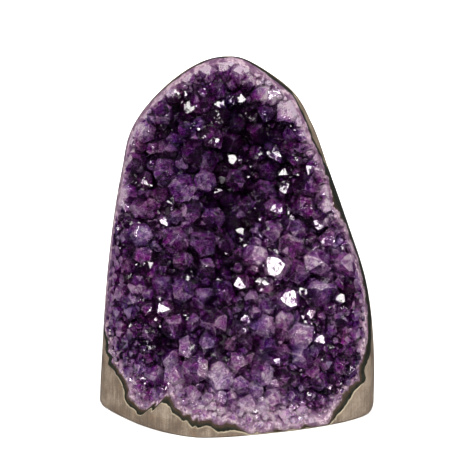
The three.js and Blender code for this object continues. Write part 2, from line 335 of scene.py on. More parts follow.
@dataclass(frozen=True)
class Mouth:
    """The hollow's mouth in front view, by angle round its middle and distance from it."""

    block: GroundBlock
    middle_x: float = -2.0
    middle_z: float = 50.0
    basalt: Curve = Curve.through(
        (-180, 56), (-165, 50), (-148, 49), (-143, 50.9), (-139, 52.2), (-133, 53.2), (-128, 56.0),
        (-124.5, 55.8), (-122.4, 54.6), (-121.8, 50.6), (-121.1, 49.7), (-120.6, 50.6), (-120.0, 46.4),
        (-118.8, 45.0), (-116.5, 44.7), (-114.4, 45.8), (-108.5, 47), (-104, 47.8), (-98, 46.7),
        (-93.5, 48.1), (-88.5, 47.6), (-84, 49.6), (-73, 52), (-64, 55.4), (-58, 58.6), (-52, 58.4),
        (-48, 58.3), (-42, 57), (-40, 57.2), (-37, 54.9), (-32, 53.6), (-27, 51.8), (-22, 50.2),
        (-16, 47.8), (-9, 46.4), (5, 44), (20, 42.6), (34, 42.6), (47, 44.9), (59, 50.3), (68, 57),
        (76, 62.5), (88, 69), (124, 72), (150, 64), (180, 56),
    )
    rind: Curve = Curve.through(
        (-180, 0.3), (-165, 0.35), (-152, 0.6), (-142, 1.0), (-125, 2.0), (-100, 2.3), (-90, 2.1),
        (-86, 0.5), (-77, 0.2), (-74.5, 0.3), (-72.6, 1.3), (-70.5, 0.3), (-68, 0.15), (-65.5, 0.3),
        (-63.4, 1.1), (-61, 0.3), (-57, 0.5), (-51, 2.0), (-30, 1.8), (-10, 1.2), (5, 0.7), (20, 1.0),
        (30, 1.7), (40, 1.5), (47, 0.7), (66, 0.35), (76, 0.25), (90, 0.2), (110, 0.2), (180, 0.3),
    )
    flush: Curve = Curve.through(
        (-180, 0.15), (-150, 0.2), (-138, 0.6), (-122, 1.4), (-105, 1.9), (-80, 1.6), (-60, 1.6),
        (-45, 1.0), (-25, 0.5), (10, 0.4), (40, 0.6), (65, 1.1), (85, 0.7), (110, 0.35), (140, 0.5),
        (165, 0.15), (180, 0.15),
    )
    pale: Curve = Curve.through(
        (-180, 0.5), (-165, 0.6), (-152, 1.2), (-143, 3.2), (-135, 7.0), (-124, 11.0), (-105, 13.5),
        (-85, 12.5), (-62, 10.0), (-46, 6.0), (-30, 3.5), (-5, 2.2), (15, 3.0), (32, 5.5), (48, 6.0),
        (66, 7.5), (75, 8.0), (84, 4.5), (92, 2.8), (110, 3.0), (122, 4.5), (133, 5.8), (142, 6.0),
        (152, 3.2), (165, 0.7), (180, 0.5),
    )
    milky: Curve = Curve.through(
        (-180, 0.1), (-165, 0.15), (-152, 0.4), (-140, 0.65), (-125, 0.8), (-105, 0.9), (-85, 0.9),
        (-62, 0.85), (-46, 0.6), (-30, 0.38), (-5, 0.26), (15, 0.36), (32, 0.65), (48, 0.7), (66, 0.9),
        (78, 0.95), (90, 0.6), (110, 0.55), (122, 0.6), (133, 0.75), (142, 0.8), (152, 0.55), (165, 0.2),
        (180, 0.1),
    )
    foot_starts: tuple[float, float] = (0.35, 0.85)
    edge_wavers: Waver = Waver(0.55, 1.7, 0.0)
    rind_wavers: Waver = Waver(0.45, 1.8, 40.0)
    flush_wavers: Waver = Waver(0.5, 5.0, 80.0)
    pale_wavers: Waver = Waver(0.4, 6.0, 120.0)
    ragged_above: float = 0.5
    ragged_more_at_foot: float = 0.9
    noise_radius: float = 50.0
    noise: LatticeNoise = LatticeNoise(7)

    def place(self, angle: Array, distance: Array) -> tuple[Array, Array]:
        """The X and Z at an angle in degrees and a distance."""
        turn = np.radians(angle)
        return self.middle_x + distance * np.cos(turn), self.middle_z + distance * np.sin(turn)

    def polar(self, x: Array, z: Array) -> tuple[Array, Array]:
        """The angle in degrees and the distance of a place."""
        across, up = x - self.middle_x, z - self.middle_z
        return np.degrees(np.arctan2(up, across)), np.hypot(across, up)

    def ring(self, angle: Array, lane: Array) -> Array:
        """Places in the noise for angles round the mouth: on a circle, in a lane of its own."""
        turn = np.radians(angle)
        return np.stack([self.noise_radius * np.cos(turn), self.noise_radius * np.sin(turn), lane], axis=-1)

    def wavering(self, angle: Array, waver: Waver) -> Array:
        """A waver's noise round the mouth, from -1 to 1."""
        return self.noise.layers(self.ring(angle, np.full(np.shape(angle), waver.lane)), waver.size, 3)

    def width(self, curve: Curve, waver: Waver, angle: Array) -> Array:
        """A width round the mouth, which wavers by a share of itself."""
        return curve.at(angle) * (1 + waver.amount * self.wavering(angle, waver))

    @cached_property
    def table(self) -> tuple[Array, Array]:
        """Close angles round the mouth, and how far the basalt is from its middle at each.

        It is the smaller of the mouth's own curve and the block's outline, found by halving a span.
        """
        angle = np.arange(-180, 180, 0.1)
        inside, outside = np.zeros(angle.shape), np.full(angle.shape, self.block.height)
        for _ in range(24):
            reach = (inside + outside) / 2
            x, z = self.place(angle, reach)
            width = self.block.half_width(np.clip(z, 0, self.block.height))
            across = np.abs(x - self.block.middle(np.clip(z, 0, self.block.height)))
            within = (z > 0) & (z < self.block.height) & (across < width)
            inside, outside = np.where(within, reach, inside), np.where(within, outside, reach)
        ragged = self.ragged_above + self.ragged_more_at_foot * self.foot(angle)
        wavy = self.edge_wavers.amount * (self.wavering(angle, self.edge_wavers) * ragged)
        return angle, np.minimum(self.basalt.at(angle) + wavy, inside)

    def edge(self, angle: Array) -> Array:
        """How far the basalt is from the mouth's middle."""
        return np.interp(angle, *self.table, period=360)

    def foot(self, angle: Array) -> Array:
        """1 at the wide ground foot, 0 at the sides and above."""
        return smoothstep(-np.sin(np.radians(angle)), *self.foot_starts)

    def rind_width(self, angle: Array) -> Array:
        """How wide the dark rind is."""
        return self.width(self.rind, self.rind_wavers, angle)

    def flush_width(self, angle: Array) -> Array:
        """How wide the quartz is that is ground flush, before the crystals start."""
        return self.width(self.flush, self.flush_wavers, angle)

    def pale_width(self, angle: Array) -> Array:
        """How far in from the basalt the crystals are pale."""
        return self.width(self.pale, self.pale_wavers, angle)


@dataclass(frozen=True)
class Lining:
    """A surface that lines the hollow: its floor in the middle, the block's ground face at its edge.

    Its depth runs from the floor to the rim as the share of the way out to a power, and on forwards
    past the edge, out of the block. A gap moves the whole of it inwards. A surface with a relief also
    falls back behind the ground face by at least a share of the way in from the edge, up to a most.
    """

    mouth: Mouth
    inset: Callable[[Array], Array]
    floor: Curve
    squareness: float
    behind: float
    gap: float = 0.0
    relief: Callable[[Array], Array] | None = None
    least_fall: float = 0.85
    most_fall: float = 3.4
    relief_ends: tuple[float, float] = (0.82, 1.0)
    outline_starts: tuple[float, float] = (0.85, 1.0)
    outline_top: tuple[float, float] = (112.5, 114.5)
    under_top: float = 0.5

    def at(self, angle: Array, share: Array) -> Array:
        """Points of the surface.

        Args:
            angle: Angles round the mouth, in degrees.
            share: Shares of the way from its middle to its edge.

        Returns:
            Points, with X, Y and Z last.
        """
        block = self.mouth.block
        edge = self.mouth.edge(angle) - self.inset(angle)
        x, z = self.mouth.place(angle, share * (edge - self.gap))
        edge_x, edge_z = self.mouth.place(angle, edge)
        top = block.height - self.under_top
        height = np.clip(edge_z, 0, top)
        to_side = np.abs(edge_x - block.middle(height)) / block.half_width(height)
        to_side, to_top = smoothstep(to_side, *self.outline_starts), smoothstep(edge_z, *self.outline_top)
        at_outline = np.maximum(to_side, to_top)
        rim = block.front_depth(edge_x, edge_z) + self.behind * at_outline
        y = self.floor.at(z) + (rim - self.floor.at(z)) * share**self.squareness - self.gap
        points = np.stack([x, y, z], axis=-1)
        if self.relief is not None:
            face = block.front_depth(x, np.clip(z, 0, top))
            fall = np.clip(self.least_fall * (1 - share) * edge, 0.0, self.most_fall)
            points[..., 1] = np.where(share < 1, np.maximum(y, face + fall), y)
            points[..., 1] += self.relief(points) * (1 - smoothstep(share, *self.relief_ends))
        return points

    def normal(self, angle: Array, share: Array) -> Array:
        """The directions square to the surface, out of the hollow."""
        here = self.at(angle, share)
        outwards = self.at(angle, share + 0.01) - here
        onwards = self.at(angle + 1.0, share) - here
        return unit(np.cross(outwards, onwards))


class Joining(Enum):
    """How two solids are combined."""

    UNION = "UNION"
    CUT = "DIFFERENCE"
    COMMON = "INTERSECT"


class Domain(Enum):
    """What a mesh's numbers belong to."""

    POINT = "POINT"
    FACE = "FACE"
    CORNER = "CORNER"


class Solid:
    """Closed meshes from arrays, and their unions and cuts."""

    @staticmethod
    def from_faces(name: str, points: Array, corners: Array, sizes: Array) -> bpy.types.Mesh:
        """A mesh from its faces.

        Args:
            name: The mesh's name.
            points: Its points, in millimetres.
            corners: The point numbers of all its faces, one face after another.
            sizes: How many corners each face has.

        Returns:
            The mesh, in metres.
        """
        mesh = bpy.data.meshes.new(name)
        mesh.vertices.add(len(points))
        mesh.vertices.foreach_set("co", (points * MM).astype(np.float32).ravel())
        mesh.loops.add(len(corners))
        mesh.loops.foreach_set("vertex_index", corners.astype(np.int32))
        mesh.polygons.add(len(sizes))
        mesh.polygons.foreach_set("loop_start", (np.cumsum(sizes) - sizes).astype(np.int32))
        mesh.update(calc_edges=True)
        return mesh

    @classmethod
    def skin(cls, name: str, start: Array, rings: Array, end: Array) -> bpy.types.Mesh:
        """A closed mesh from a point, rings of points and a point, with its faces outwards.

        Args:
            name: The mesh's name.
            start: The point before the first ring.
            rings: An array of rings, points and coordinates.
            end: The point after the last ring.

        Returns:
            The mesh.
        """
        count, turns = rings.shape[:2]
        points = np.concatenate([rings.reshape(-1, 3), [start, end]])
        here = np.arange(turns)
        onwards = (here + 1) % turns
        row = (np.arange(count - 1) * turns)[:, None]
        quads = np.stack([row + here, row + onwards, row + turns + onwards, row + turns + here], axis=-1)
        first, last = len(points) - 2, len(points) - 1
        fans = np.concatenate(
            [
                np.stack([np.full(turns, first), onwards, here], axis=-1),
                np.stack([np.full(turns, last), here + row[-1] + turns, onwards + row[-1] + turns], axis=-1),
            ]
        )
        quads = quads.reshape(-1, 4)
        a, b, c, d = (points[quads[:, k]] for k in range(4))
        volume = np.einsum("ij,ij->", a, np.cross(b, c)) + np.einsum("ij,ij->", a, np.cross(c, d))
        if volume < 0:
            quads, fans = quads[:, ::-1], fans[:, ::-1]
        corners = np.concatenate([quads.ravel(), fans.ravel()])
        sizes = np.concatenate([np.full(len(quads), 4), np.full(len(fans), 3)])
        return cls.from_faces(name, points, corners, sizes)

    @staticmethod
    def combined(
        name: str, first: bpy.types.Mesh, steps: Iterable[tuple[Joining, Sequence[bpy.types.Mesh]]]
    ) -> bpy.types.Mesh:
        """A mesh united with, cut by or cut down to others, one step after another.

        Args:
            name: The new mesh's name.
            first: The mesh to start from.
            steps: How to combine, and with which meshes.

        Returns:
            The new mesh.
        """
        start = bpy.data.objects.new(name, first)
        bpy.context.scene.collection.objects.link(start)
        others = []
        for joining, meshes in steps:
            group = bpy.data.collections.new(name)
            for mesh in meshes:
                other = bpy.data.objects.new(mesh.name, mesh)
                group.objects.link(other)
                others.append(other)
            modifier = start.modifiers.new(joining.value, "BOOLEAN")
            modifier.operation = joining.value
            modifier.operand_type = "COLLECTION"
            modifier.collection = group
            modifier.solver = "MANIFOLD"
        evaluated = start.evaluated_get(bpy.context.evaluated_depsgraph_get())
        made = bpy.data.meshes.new_from_object(evaluated)
        made.name = name
        for modifier in list(start.modifiers):
            bpy.data.collections.remove(modifier.collection)
        for scrap in [start, *others]:
            bpy.data.objects.remove(scrap)
        return made

    @staticmethod
    def points(mesh: bpy.types.Mesh) -> Array:
        """The mesh's points, in millimetres."""
        flat = np.empty(len(mesh.vertices) * 3, np.float32)
        mesh.vertices.foreach_get("co", flat)
        return flat.reshape(-1, 3).astype(float) / MM

    @staticmethod
    def mark(mesh: bpy.types.Mesh, domain: Domain, **named: Array) -> None:
        """Writes numbers, or threes of numbers, for all of the mesh's points, faces or corners by name."""
        for name, values in named.items():
            kind, part = ("FLOAT", "value") if values.ndim == 1 else ("FLOAT_VECTOR", "vector")
            data = mesh.attributes.new(name, kind, domain.value).data
            data.foreach_set(part, values.astype(np.float32).ravel())

    @staticmethod
    def read(mesh: bpy.types.Mesh, name: str) -> Array:
        """The numbers that the mesh holds under a name."""
        data = mesh.attributes[name].data
        values = np.empty(len(data), np.float32)
        data.foreach_get("value", values)
        return values

    @classmethod
    def triangles(cls, mesh: bpy.types.Mesh, kept: Sequence[str], thinnest: float = 1e-6) -> bpy.types.Mesh:
        """The same mesh in triangles, each with its distances to ridges and to creases.

        A corner of a triangle lies its height away from the opposite edge and on the other two, so
        three numbers for each corner blend into the exact distances to the three edges. An edge that
        isn't a ridge counts as far away among the ridges, and one that isn't a crease among the creases.
        Two triangles back to back on the same three points enclose nothing, so both are left out. A
        triangle too thin to have a direction stays, to keep the mesh closed, with all edges far away.

        Args:
            mesh: The mesh.
            kept: The names of its numbers by face that the new mesh keeps.
            thinnest: Twice the area in square millimetres up to which a triangle is too thin.

        Returns:
            The new mesh, shaded flat.
        """
        mesh.calc_loop_triangles()
        title, count = mesh.name, len(mesh.loop_triangles)
        corner, face = np.empty(count * 3, np.int32), np.empty(count, np.int32)
        mesh.loop_triangles.foreach_get("vertices", corner)
        mesh.loop_triangles.foreach_get("polygon_index", face)
        corner = corner.reshape(-1, 3)
        _, group, times = np.unique(np.sort(corner, axis=1), axis=0, return_inverse=True, return_counts=True)
        single = times[group.ravel()] == 1
        corner, face = corner[single], face[single]
        points = cls.points(mesh)
        a, b, c = (points[corner[:, k]] for k in range(3))
        across = np.cross(b - a, c - a)
        sound = np.linalg.norm(across, axis=-1) > thinnest
        ridge, crease = np.full((2, 3 * len(corner), 3), FAR)
        held = np.repeat(sound, 3)
        ridge[held], crease[held] = cls.edges(points, corner[sound], across[sound])
        values = {name: cls.read(mesh, name)[face] for name in kept}
        bpy.data.meshes.remove(mesh)
        made = cls.from_faces(title, points, corner.ravel(), np.full(len(corner), 3))
        made.shade_flat()
        cls.mark(made, Domain.FACE, **values)
        cls.mark(made, Domain.CORNER, ridge=ridge, crease=crease)
        return made

    @staticmethod
    def edges(points: Array, corner: Array, across: Array, level: float = 0.985) -> tuple[Array, Array]:
        """Each corner's distances to the three edges of its triangle, for ridges and for creases.

        Args:
            points: The mesh's points.
            corner: The triangles' point numbers.
            across: The triangles' normals, as long as twice their areas.
            level: The cosine between two triangles' normals above which their edge is neither.

        Returns:
            For every corner, three distances to ridges and three to creases.
        """
        count = len(corner)
        opposite = corner.T.ravel()
        start, end = np.roll(corner, -1, axis=1).T.ravel(), np.roll(corner, -2, axis=1).T.ravel()
        key = np.minimum(start, end).astype(np.int64) * len(points) + np.maximum(start, end)
        order = np.argsort(key, kind="stable")
        same = key[order][1:] == key[order][:-1]
        one, other = order[:-1][same], order[1:][same]
        normal = unit(across)
        turn = (normal[one % count] * normal[other % count]).sum(-1)
        rise = ((points[opposite[other]] - points[start[one]]) * normal[one % count]).sum(-1)
        bend = np.zeros(3 * count)
        bend[one] = bend[other] = np.where(turn > level, 0.0, np.sign(rise))
        length = np.linalg.norm(points[end] - points[start], axis=-1)
        height = np.tile(np.linalg.norm(across, axis=-1), 3) / np.maximum(length, 1e-6)
        spread = np.eye(3)[None] * height.reshape(3, count).T[:, None, :]
        bend = bend.reshape(3, count).T[:, None, :]
        ridge, crease = np.where(bend < 0, spread, FAR), np.where(bend > 0, spread, FAR)
        return ridge.reshape(-1, 3), crease.reshape(-1, 3)


@dataclass(frozen=True)
class Shade:
    """A value or a colour in a material's node tree. Operators on values add Math nodes."""

    tree: bpy.types.NodeTree
    socket: bpy.types.NodeSocket

    def maths(self, operation: str, *others: "Shade | float") -> "Shade":
        """The result of a Math node on this value and others.

        Args:
            operation: The node's operation.
            others: What it takes besides this value.

        Returns:
            The result.
        """
        node = self.tree.nodes.new("ShaderNodeMath")
        node.operation = operation
        for socket, value in zip(node.inputs, (self, *others)):
            Finish.feed(self.tree, socket, value)
        return Shade(self.tree, node.outputs[0])

    def __add__(self, other: "Shade | float") -> "Shade":
        """This plus another."""
        return self.maths("ADD", other)

    def __mul__(self, other: "Shade | float") -> "Shade":
        """This times another."""
        return self.maths("MULTIPLY", other)

    def __sub__(self, other: "Shade | float") -> "Shade":
        """This less another."""
        return self.maths("SUBTRACT", other)

    def __rsub__(self, other: float) -> "Shade":
        """A number less this."""
        return self * -1.0 + other

    def __pow__(self, power: float) -> "Shade":
        """This to a power."""
        return self.maths("POWER", power)

    __radd__ = __add__
    __rmul__ = __mul__

    def between(self, low: float, high: float) -> "Shade":
        """0 where this is below low, 1 where it is above high, and a smooth rise in between.

        Args:
            low: Where the rise starts.
            high: Where it ends.

        Returns:
            A value from 0 to 1.
        """
        node = self.tree.nodes.new("ShaderNodeMapRange")
        node.interpolation_type = "SMOOTHSTEP"
        Finish.feed(self.tree, node.inputs["Value"], self)
        node.inputs["From Min"].default_value = low
        node.inputs["From Max"].default_value = high
        return Shade(self.tree, node.outputs["Result"])


@dataclass(frozen=True)
class Finish:
    """The base of the finishes: a material and the ways to fill its node tree."""

    name: str

    @cached_property
    def made(self) -> bpy.types.Material:
        """The material, with an empty node tree."""
        material = bpy.data.materials.new(self.name)
        material.use_nodes = True
        material.node_tree.nodes.clear()
        return material

    @staticmethod
    def feed(tree: bpy.types.NodeTree, socket: bpy.types.NodeSocket, value: object) -> None:
        """Links a value to a socket, or sets it there.

        Args:
            tree: The node tree.
            socket: The socket.
            value: What it gets: a link, a colour or a number.
        """
        if isinstance(value, Shade):
            tree.links.new(value.socket, socket)
        elif isinstance(value, bpy.types.NodeSocket):
            tree.links.new(value, socket)
        elif isinstance(value, tuple) and socket.type == "RGBA":
            socket.default_value = (*value, 1.0)
        else:
            socket.default_value = value

    def node(self, kind: str, settings: dict[str, object], inputs: dict[str, object]) -> bpy.types.Node:
        """A node of the material.

        Args:
            kind: The node's type.
            settings: Its settings, which are set first.
            inputs: Values or links for its sockets, by name.

        Returns:
            The node.
        """
        tree = self.made.node_tree
        node = tree.nodes.new(kind)
        for name, value in settings.items():
            setattr(node, name, value)
        for name, value in inputs.items():
            self.feed(tree, node.inputs[name], value)
        return node

    def shade(self, node: bpy.types.Node, output: str = "") -> Shade:
        """A node's output, by name or the first."""
        return Shade(self.made.node_tree, node.outputs[output] if output else node.outputs[0])

    def attribute(self, name: str) -> Shade:
        """The number that the mesh holds under a name."""
        return self.shade(self.node("ShaderNodeAttribute", {"attribute_name": name}, {}), "Fac")

    def three(self, name: str) -> Shade:
        """The three numbers that the mesh holds under a name."""
        return self.shade(self.node("ShaderNodeAttribute", {"attribute_name": name}, {}), "Vector")

    def least(self, name: str) -> Shade:
        """The least of the three numbers that the mesh holds under a name."""
        parts = self.node("ShaderNodeSeparateXYZ", {}, {"Vector": self.three(name)})
        x, y, z = (self.shade(parts, axis) for axis in "XYZ")
        return x.maths("MINIMUM", y).maths("MINIMUM", z)

    def place(self, stretch: tuple[float, float, float] = (1.0, 1.0, 1.0)) -> Shade:
        """The place on the object in millimetres, stretched along X, Y and Z.

        Args:
            stretch: How much a distance counts along X, Y and Z.

        Returns:
            The place.
        """
        coordinates = self.shade(self.node("ShaderNodeTexCoord", {}, {}), "Object")
        scale = tuple(part / MM for part in stretch)
        node = self.node("ShaderNodeVectorMath", {"operation": "MULTIPLY"}, {})
        self.feed(self.made.node_tree, node.inputs[0], coordinates)
        node.inputs[1].default_value = scale
        return self.shade(node)

    def noise(self, where: Shade, size: float, detail: float = 3.0, roughness: float = 0.55) -> Shade:
        """Noise from about 0 to 1, with lumps of a size in millimetres."""
        inputs = {"Vector": where, "Scale": 1.0 / size, "Detail": detail, "Roughness": roughness}
        return self.shade(self.node("ShaderNodeTexNoise", {}, inputs), "Fac")

    def cells(self, where: Shade, size: float, feature: str = "F1", output: str = "Distance") -> Shade:
        """Cells of a size in millimetres."""
        inputs = {"Vector": where, "Scale": 1.0 / size}
        return self.shade(self.node("ShaderNodeTexVoronoi", {"feature": feature}, inputs), output)

    def mix(self, share: Shade | float, first: "Shade | Colour", second: "Shade | Colour") -> Shade:
        """A colour between two, by a share from 0 to 1.

        Args:
            share: How much of the second colour there is.
            first: The first colour.
            second: The second colour.

        Returns:
            The mixed colour.
        """
        node = self.node("ShaderNodeMix", {"data_type": "RGBA", "clamp_factor": True}, {})
        for socket, value in zip((node.inputs[0], node.inputs[6], node.inputs[7]), (share, first, second)):
            self.feed(self.made.node_tree, socket, value)
        return Shade(self.made.node_tree, node.outputs[2])

    def ramp(self, value: Shade, start: "Shade | Colour", *steps: tuple[float, float, Colour]) -> Shade:
        """A colour that passes into others, one after another, as a value rises.

        Args:
            value: The value.
            start: The colour before the first passage.
            steps: Where each passage starts and ends, and the colour it leads to.

        Returns:
            The colour.
        """
        for low, high, onwards in steps:
            start = self.mix(value.between(low, high), start, onwards)
        return start

    def bump(
        self, height: Shade, distance: float, strength: float = 1.0, normal: Shade | None = None
    ) -> bpy.types.NodeSocket:
        """A Bump node's normal, from a height that counts as a distance in millimetres.

        Args:
            height: The relief, from 0 to about 1.
            distance: How high 1 is.
            strength: The share of the relief that counts.
            normal: The normal that it is added to, if not the surface's own.

        Returns:
            The output that gives the normal.
        """
        inputs: dict[str, object] = {"Height": height, "Distance": distance * MM, "Strength": strength}
        if normal is not None:
            inputs["Normal"] = normal
        return self.node("ShaderNodeBump", {}, inputs).outputs["Normal"]

    def mosaic(self, where: Shade, size: float, tilt: Shade | float, flat: Shade | None = None) -> Shade:
        """A normal, tilted a little and otherwise in each cell of a pattern.

        Args:
            where: The place.
            size: The cells' size in millimetres.
            tilt: How far the normal is tilted at most, in radians.
            flat: The normal that is tilted, if not the surface's own.

        Returns:
            The tilted normal.
        """
        kind, tree = "ShaderNodeVectorMath", self.made.node_tree
        if flat is None:
            flat = self.shade(self.node("ShaderNodeNewGeometry", {}, {}), "Normal")
        centred = self.node(kind, {"operation": "SUBTRACT"}, {})
        self.feed(tree, centred.inputs[0], self.cells(where, size, output="Color"))
        centred.inputs[1].default_value = (0.5, 0.5, 0.5)
        scaled = self.node(kind, {"operation": "SCALE"}, {"Vector": self.shade(centred), "Scale": tilt * 2.0})
        total = self.node(kind, {"operation": "ADD"}, {})
        self.feed(tree, total.inputs[0], flat)
        self.feed(tree, total.inputs[1], self.shade(scaled))
        return self.shade(self.node(kind, {"operation": "NORMALIZE"}, {"Vector": self.shade(total)}))

    def surface(self, volume: bpy.types.NodeSocket | None = None, **inputs: object) -> None:
        """The Principled shader, joined to the output. Its sockets' names have underscores for spaces.

        Args:
            volume: What fills the inside, if anything does.
            inputs: Values or links for its sockets.
        """
        named = {name.replace("_", " "): value for name, value in inputs.items()}
        joined = {"Surface": self.node("ShaderNodeBsdfPrincipled", {}, named).outputs[0]}
        if volume is not None:
            joined["Volume"] = volume
        self.node("ShaderNodeOutputMaterial", {}, joined)


@dataclass(frozen=True)
class BasaltFinish(Finish):
    """Satin ground basalt in front and at the sides, broken rock behind, and a pale line by the rind."""

    name: str = "ground basalt"
    middle: Colour = (0.160, 0.122, 0.088)
    light: Colour = (0.245, 0.200, 0.150)
    dark: Colour = (0.088, 0.065, 0.046)
    brown: Colour = (0.150, 0.092, 0.052)
    broken: Colour = (0.12, 0.094, 0.070)
    broken_dark: Colour = (0.045, 0.038, 0.031)
    rust: Colour = (0.18, 0.095, 0.045)
    pale: Colour = (0.36, 0.31, 0.22)
    upright: tuple[float, float, float] = (1.0, 1.0, 0.045)

    def build(self) -> bpy.types.Material:
        """The material: mottles, specks and upright grinding streaks, with a relief of grain.

        Returns:
            The finished material.
        """
        where = self.place()
        streaks = self.noise(self.place(self.upright), 0.55, 3.0, 0.65)
        mottle = self.noise(where, 7.0, 4.0)
        grain = self.noise(where, 0.5, 3.0, 0.7)
        rough = self.attribute("broken")
        ground = self.mix((mottle * 1.1 + streaks * 0.4 - 0.25).between(0.25, 0.75), self.dark, self.middle)
        lighter = streaks * 0.5 + mottle * 0.6 + grain * 0.6 - 0.35
        ground = self.mix(lighter.between(0.42, 0.7), ground, self.light)
        specks = 1 - self.cells(where, 0.9)
        ground = self.mix(specks.between(0.75, 0.98) * 0.6, ground, self.dark)
        browner = grain + self.noise(where, 3.0, 3.0) - 0.5
        ground = self.mix(browner.between(0.56, 0.7) * 0.6, ground, self.brown)
        beside = 1 - self.attribute("rind_distance").between(0.1, 0.55)
        beside = beside * (mottle + grain - 0.35).between(0.3, 0.7)
        beside = beside * (1 - self.attribute("below").between(0.4, 1.2))
        ground = self.mix(beside * 0.8, ground, self.pale)
        rock = self.mix(self.noise(where, 4.0, 5.0, 0.65).between(0.35, 0.65), self.broken_dark, self.broken)
        rock = self.mix(self.noise(where, 11.0, 4.0).between(0.55, 0.75) * 0.6, rock, self.rust)
        colour = self.mix(rough, ground, rock)
        roughness = rough * 0.36 + grain * 0.16 + 0.36
        pits = self.cells(where, 2.6).between(0.0, 0.35)
        height = grain * 0.35 + streaks * 0.25 + rough * (self.noise(where, 1.6, 5.0, 0.7) * 2.0 + pits * 0.8)
        self.surface(Base_Color=colour, Roughness=roughness, Normal=self.bump(height, 0.22))
        return self.made


@dataclass(frozen=True)
class RindFinish(Finish):
    """The polished green-black rind, browner towards the quartz."""

    name: str = "green-black rind"
    dark: Colour = (0.006, 0.0075, 0.005)
    green: Colour = (0.018, 0.021, 0.012)
    grey: Colour = (0.045, 0.045, 0.036)
    brown: Colour = (0.042, 0.026, 0.017)

    def build(self) -> bpy.types.Material:
        """The material: dark and green mottles, grey specks and a brown inner edge.

        Returns:
            The finished material.
        """
        where = self.place()
        mottle = self.noise(where, 1.3, 4.0, 0.65)
        colour = self.mix(mottle.between(0.38, 0.68), self.dark, self.green)
        colour = self.mix(self.noise(where, 0.6, 3.0, 0.7).between(0.6, 0.8) * 0.7, colour, self.grey)
        inner = (self.attribute("across") + mottle * 0.5 - 0.25).between(0.35, 0.95)
        colour = self.mix(inner, colour, self.brown)
        roughness, normal = mottle * 0.3 + 0.3, self.bump(mottle, 0.05)
        self.surface(Base_Color=colour, Roughness=roughness, Specular_IOR_Level=0.3, Normal=normal)
        return self.made


@dataclass(frozen=True)
class QuartzFinish(Finish):
    """Milky quartz: brown by the rind, white and lilac where it is ground, violet under the crystals."""

    name: str = "milky quartz"
    brown: Colour = (0.055, 0.034, 0.026)
    white: Colour = (0.40, 0.31, 0.35)
    lilac: Colour = (0.15, 0.075, 0.135)
    violet: Colour = (0.060, 0.016, 0.064)
    deep: Colour = (0.008, 0.002, 0.009)

    def build(self) -> bpy.types.Material:
        """The material: columns that stand on the rind, mottles, colour that deepens inwards, and painted
        shade in the deep of the hollow.

        Returns:
            The finished material.
        """
        where = self.place()
        column = self.three("column")
        mottle = self.noise(where, 3.2, 4.0, 0.6)
        fine = self.noise(where, 0.6, 3.0, 0.75)
        streak = self.noise(column, 1.3, 4.0, 0.75)
        inside, below, recess = (self.attribute(name) for name in ("inside", "below", "recess"))
        sugar = mottle * 0.8 + streak * 0.6 + fine * 1.8 - 1.1
        flush = self.mix(sugar.between(0.36, 0.6), self.lilac, self.white)
        patches = self.noise(where, 2.6, 3.0, 0.6) + (fine - 0.5) * 0.5
        flush = self.mix(patches.between(0.49, 0.56) * 0.8, flush, self.violet)
        stained = 1 - (inside + fine * 3.0 - mottle * 2.0).between(0.2, 2.2)
        flush = self.mix(stained * (self.attribute("foot") * 0.8 + 0.1), flush, self.brown)
        under = self.mix((below + mottle * 3.0).between(1.0, 5.0), self.lilac, self.violet)
        # Painted shade: the quartz under the crystals darkens to deep violet in the deep of the hollow and
        # further back.
        under = self.mix((recess + below * 0.05).maths("MINIMUM", 1.0), under, self.deep)
        colour = self.mix(below.between(0.2, 2.0), flush, under)
        normal = self.bump(fine, 0.08, 0.6, self.mosaic(where, 0.9, 0.12))
        self.surface(Base_Color=colour, Roughness=fine * 0.3 + 0.22, IOR=QUARTZ_IOR, Normal=normal)
        return self.made


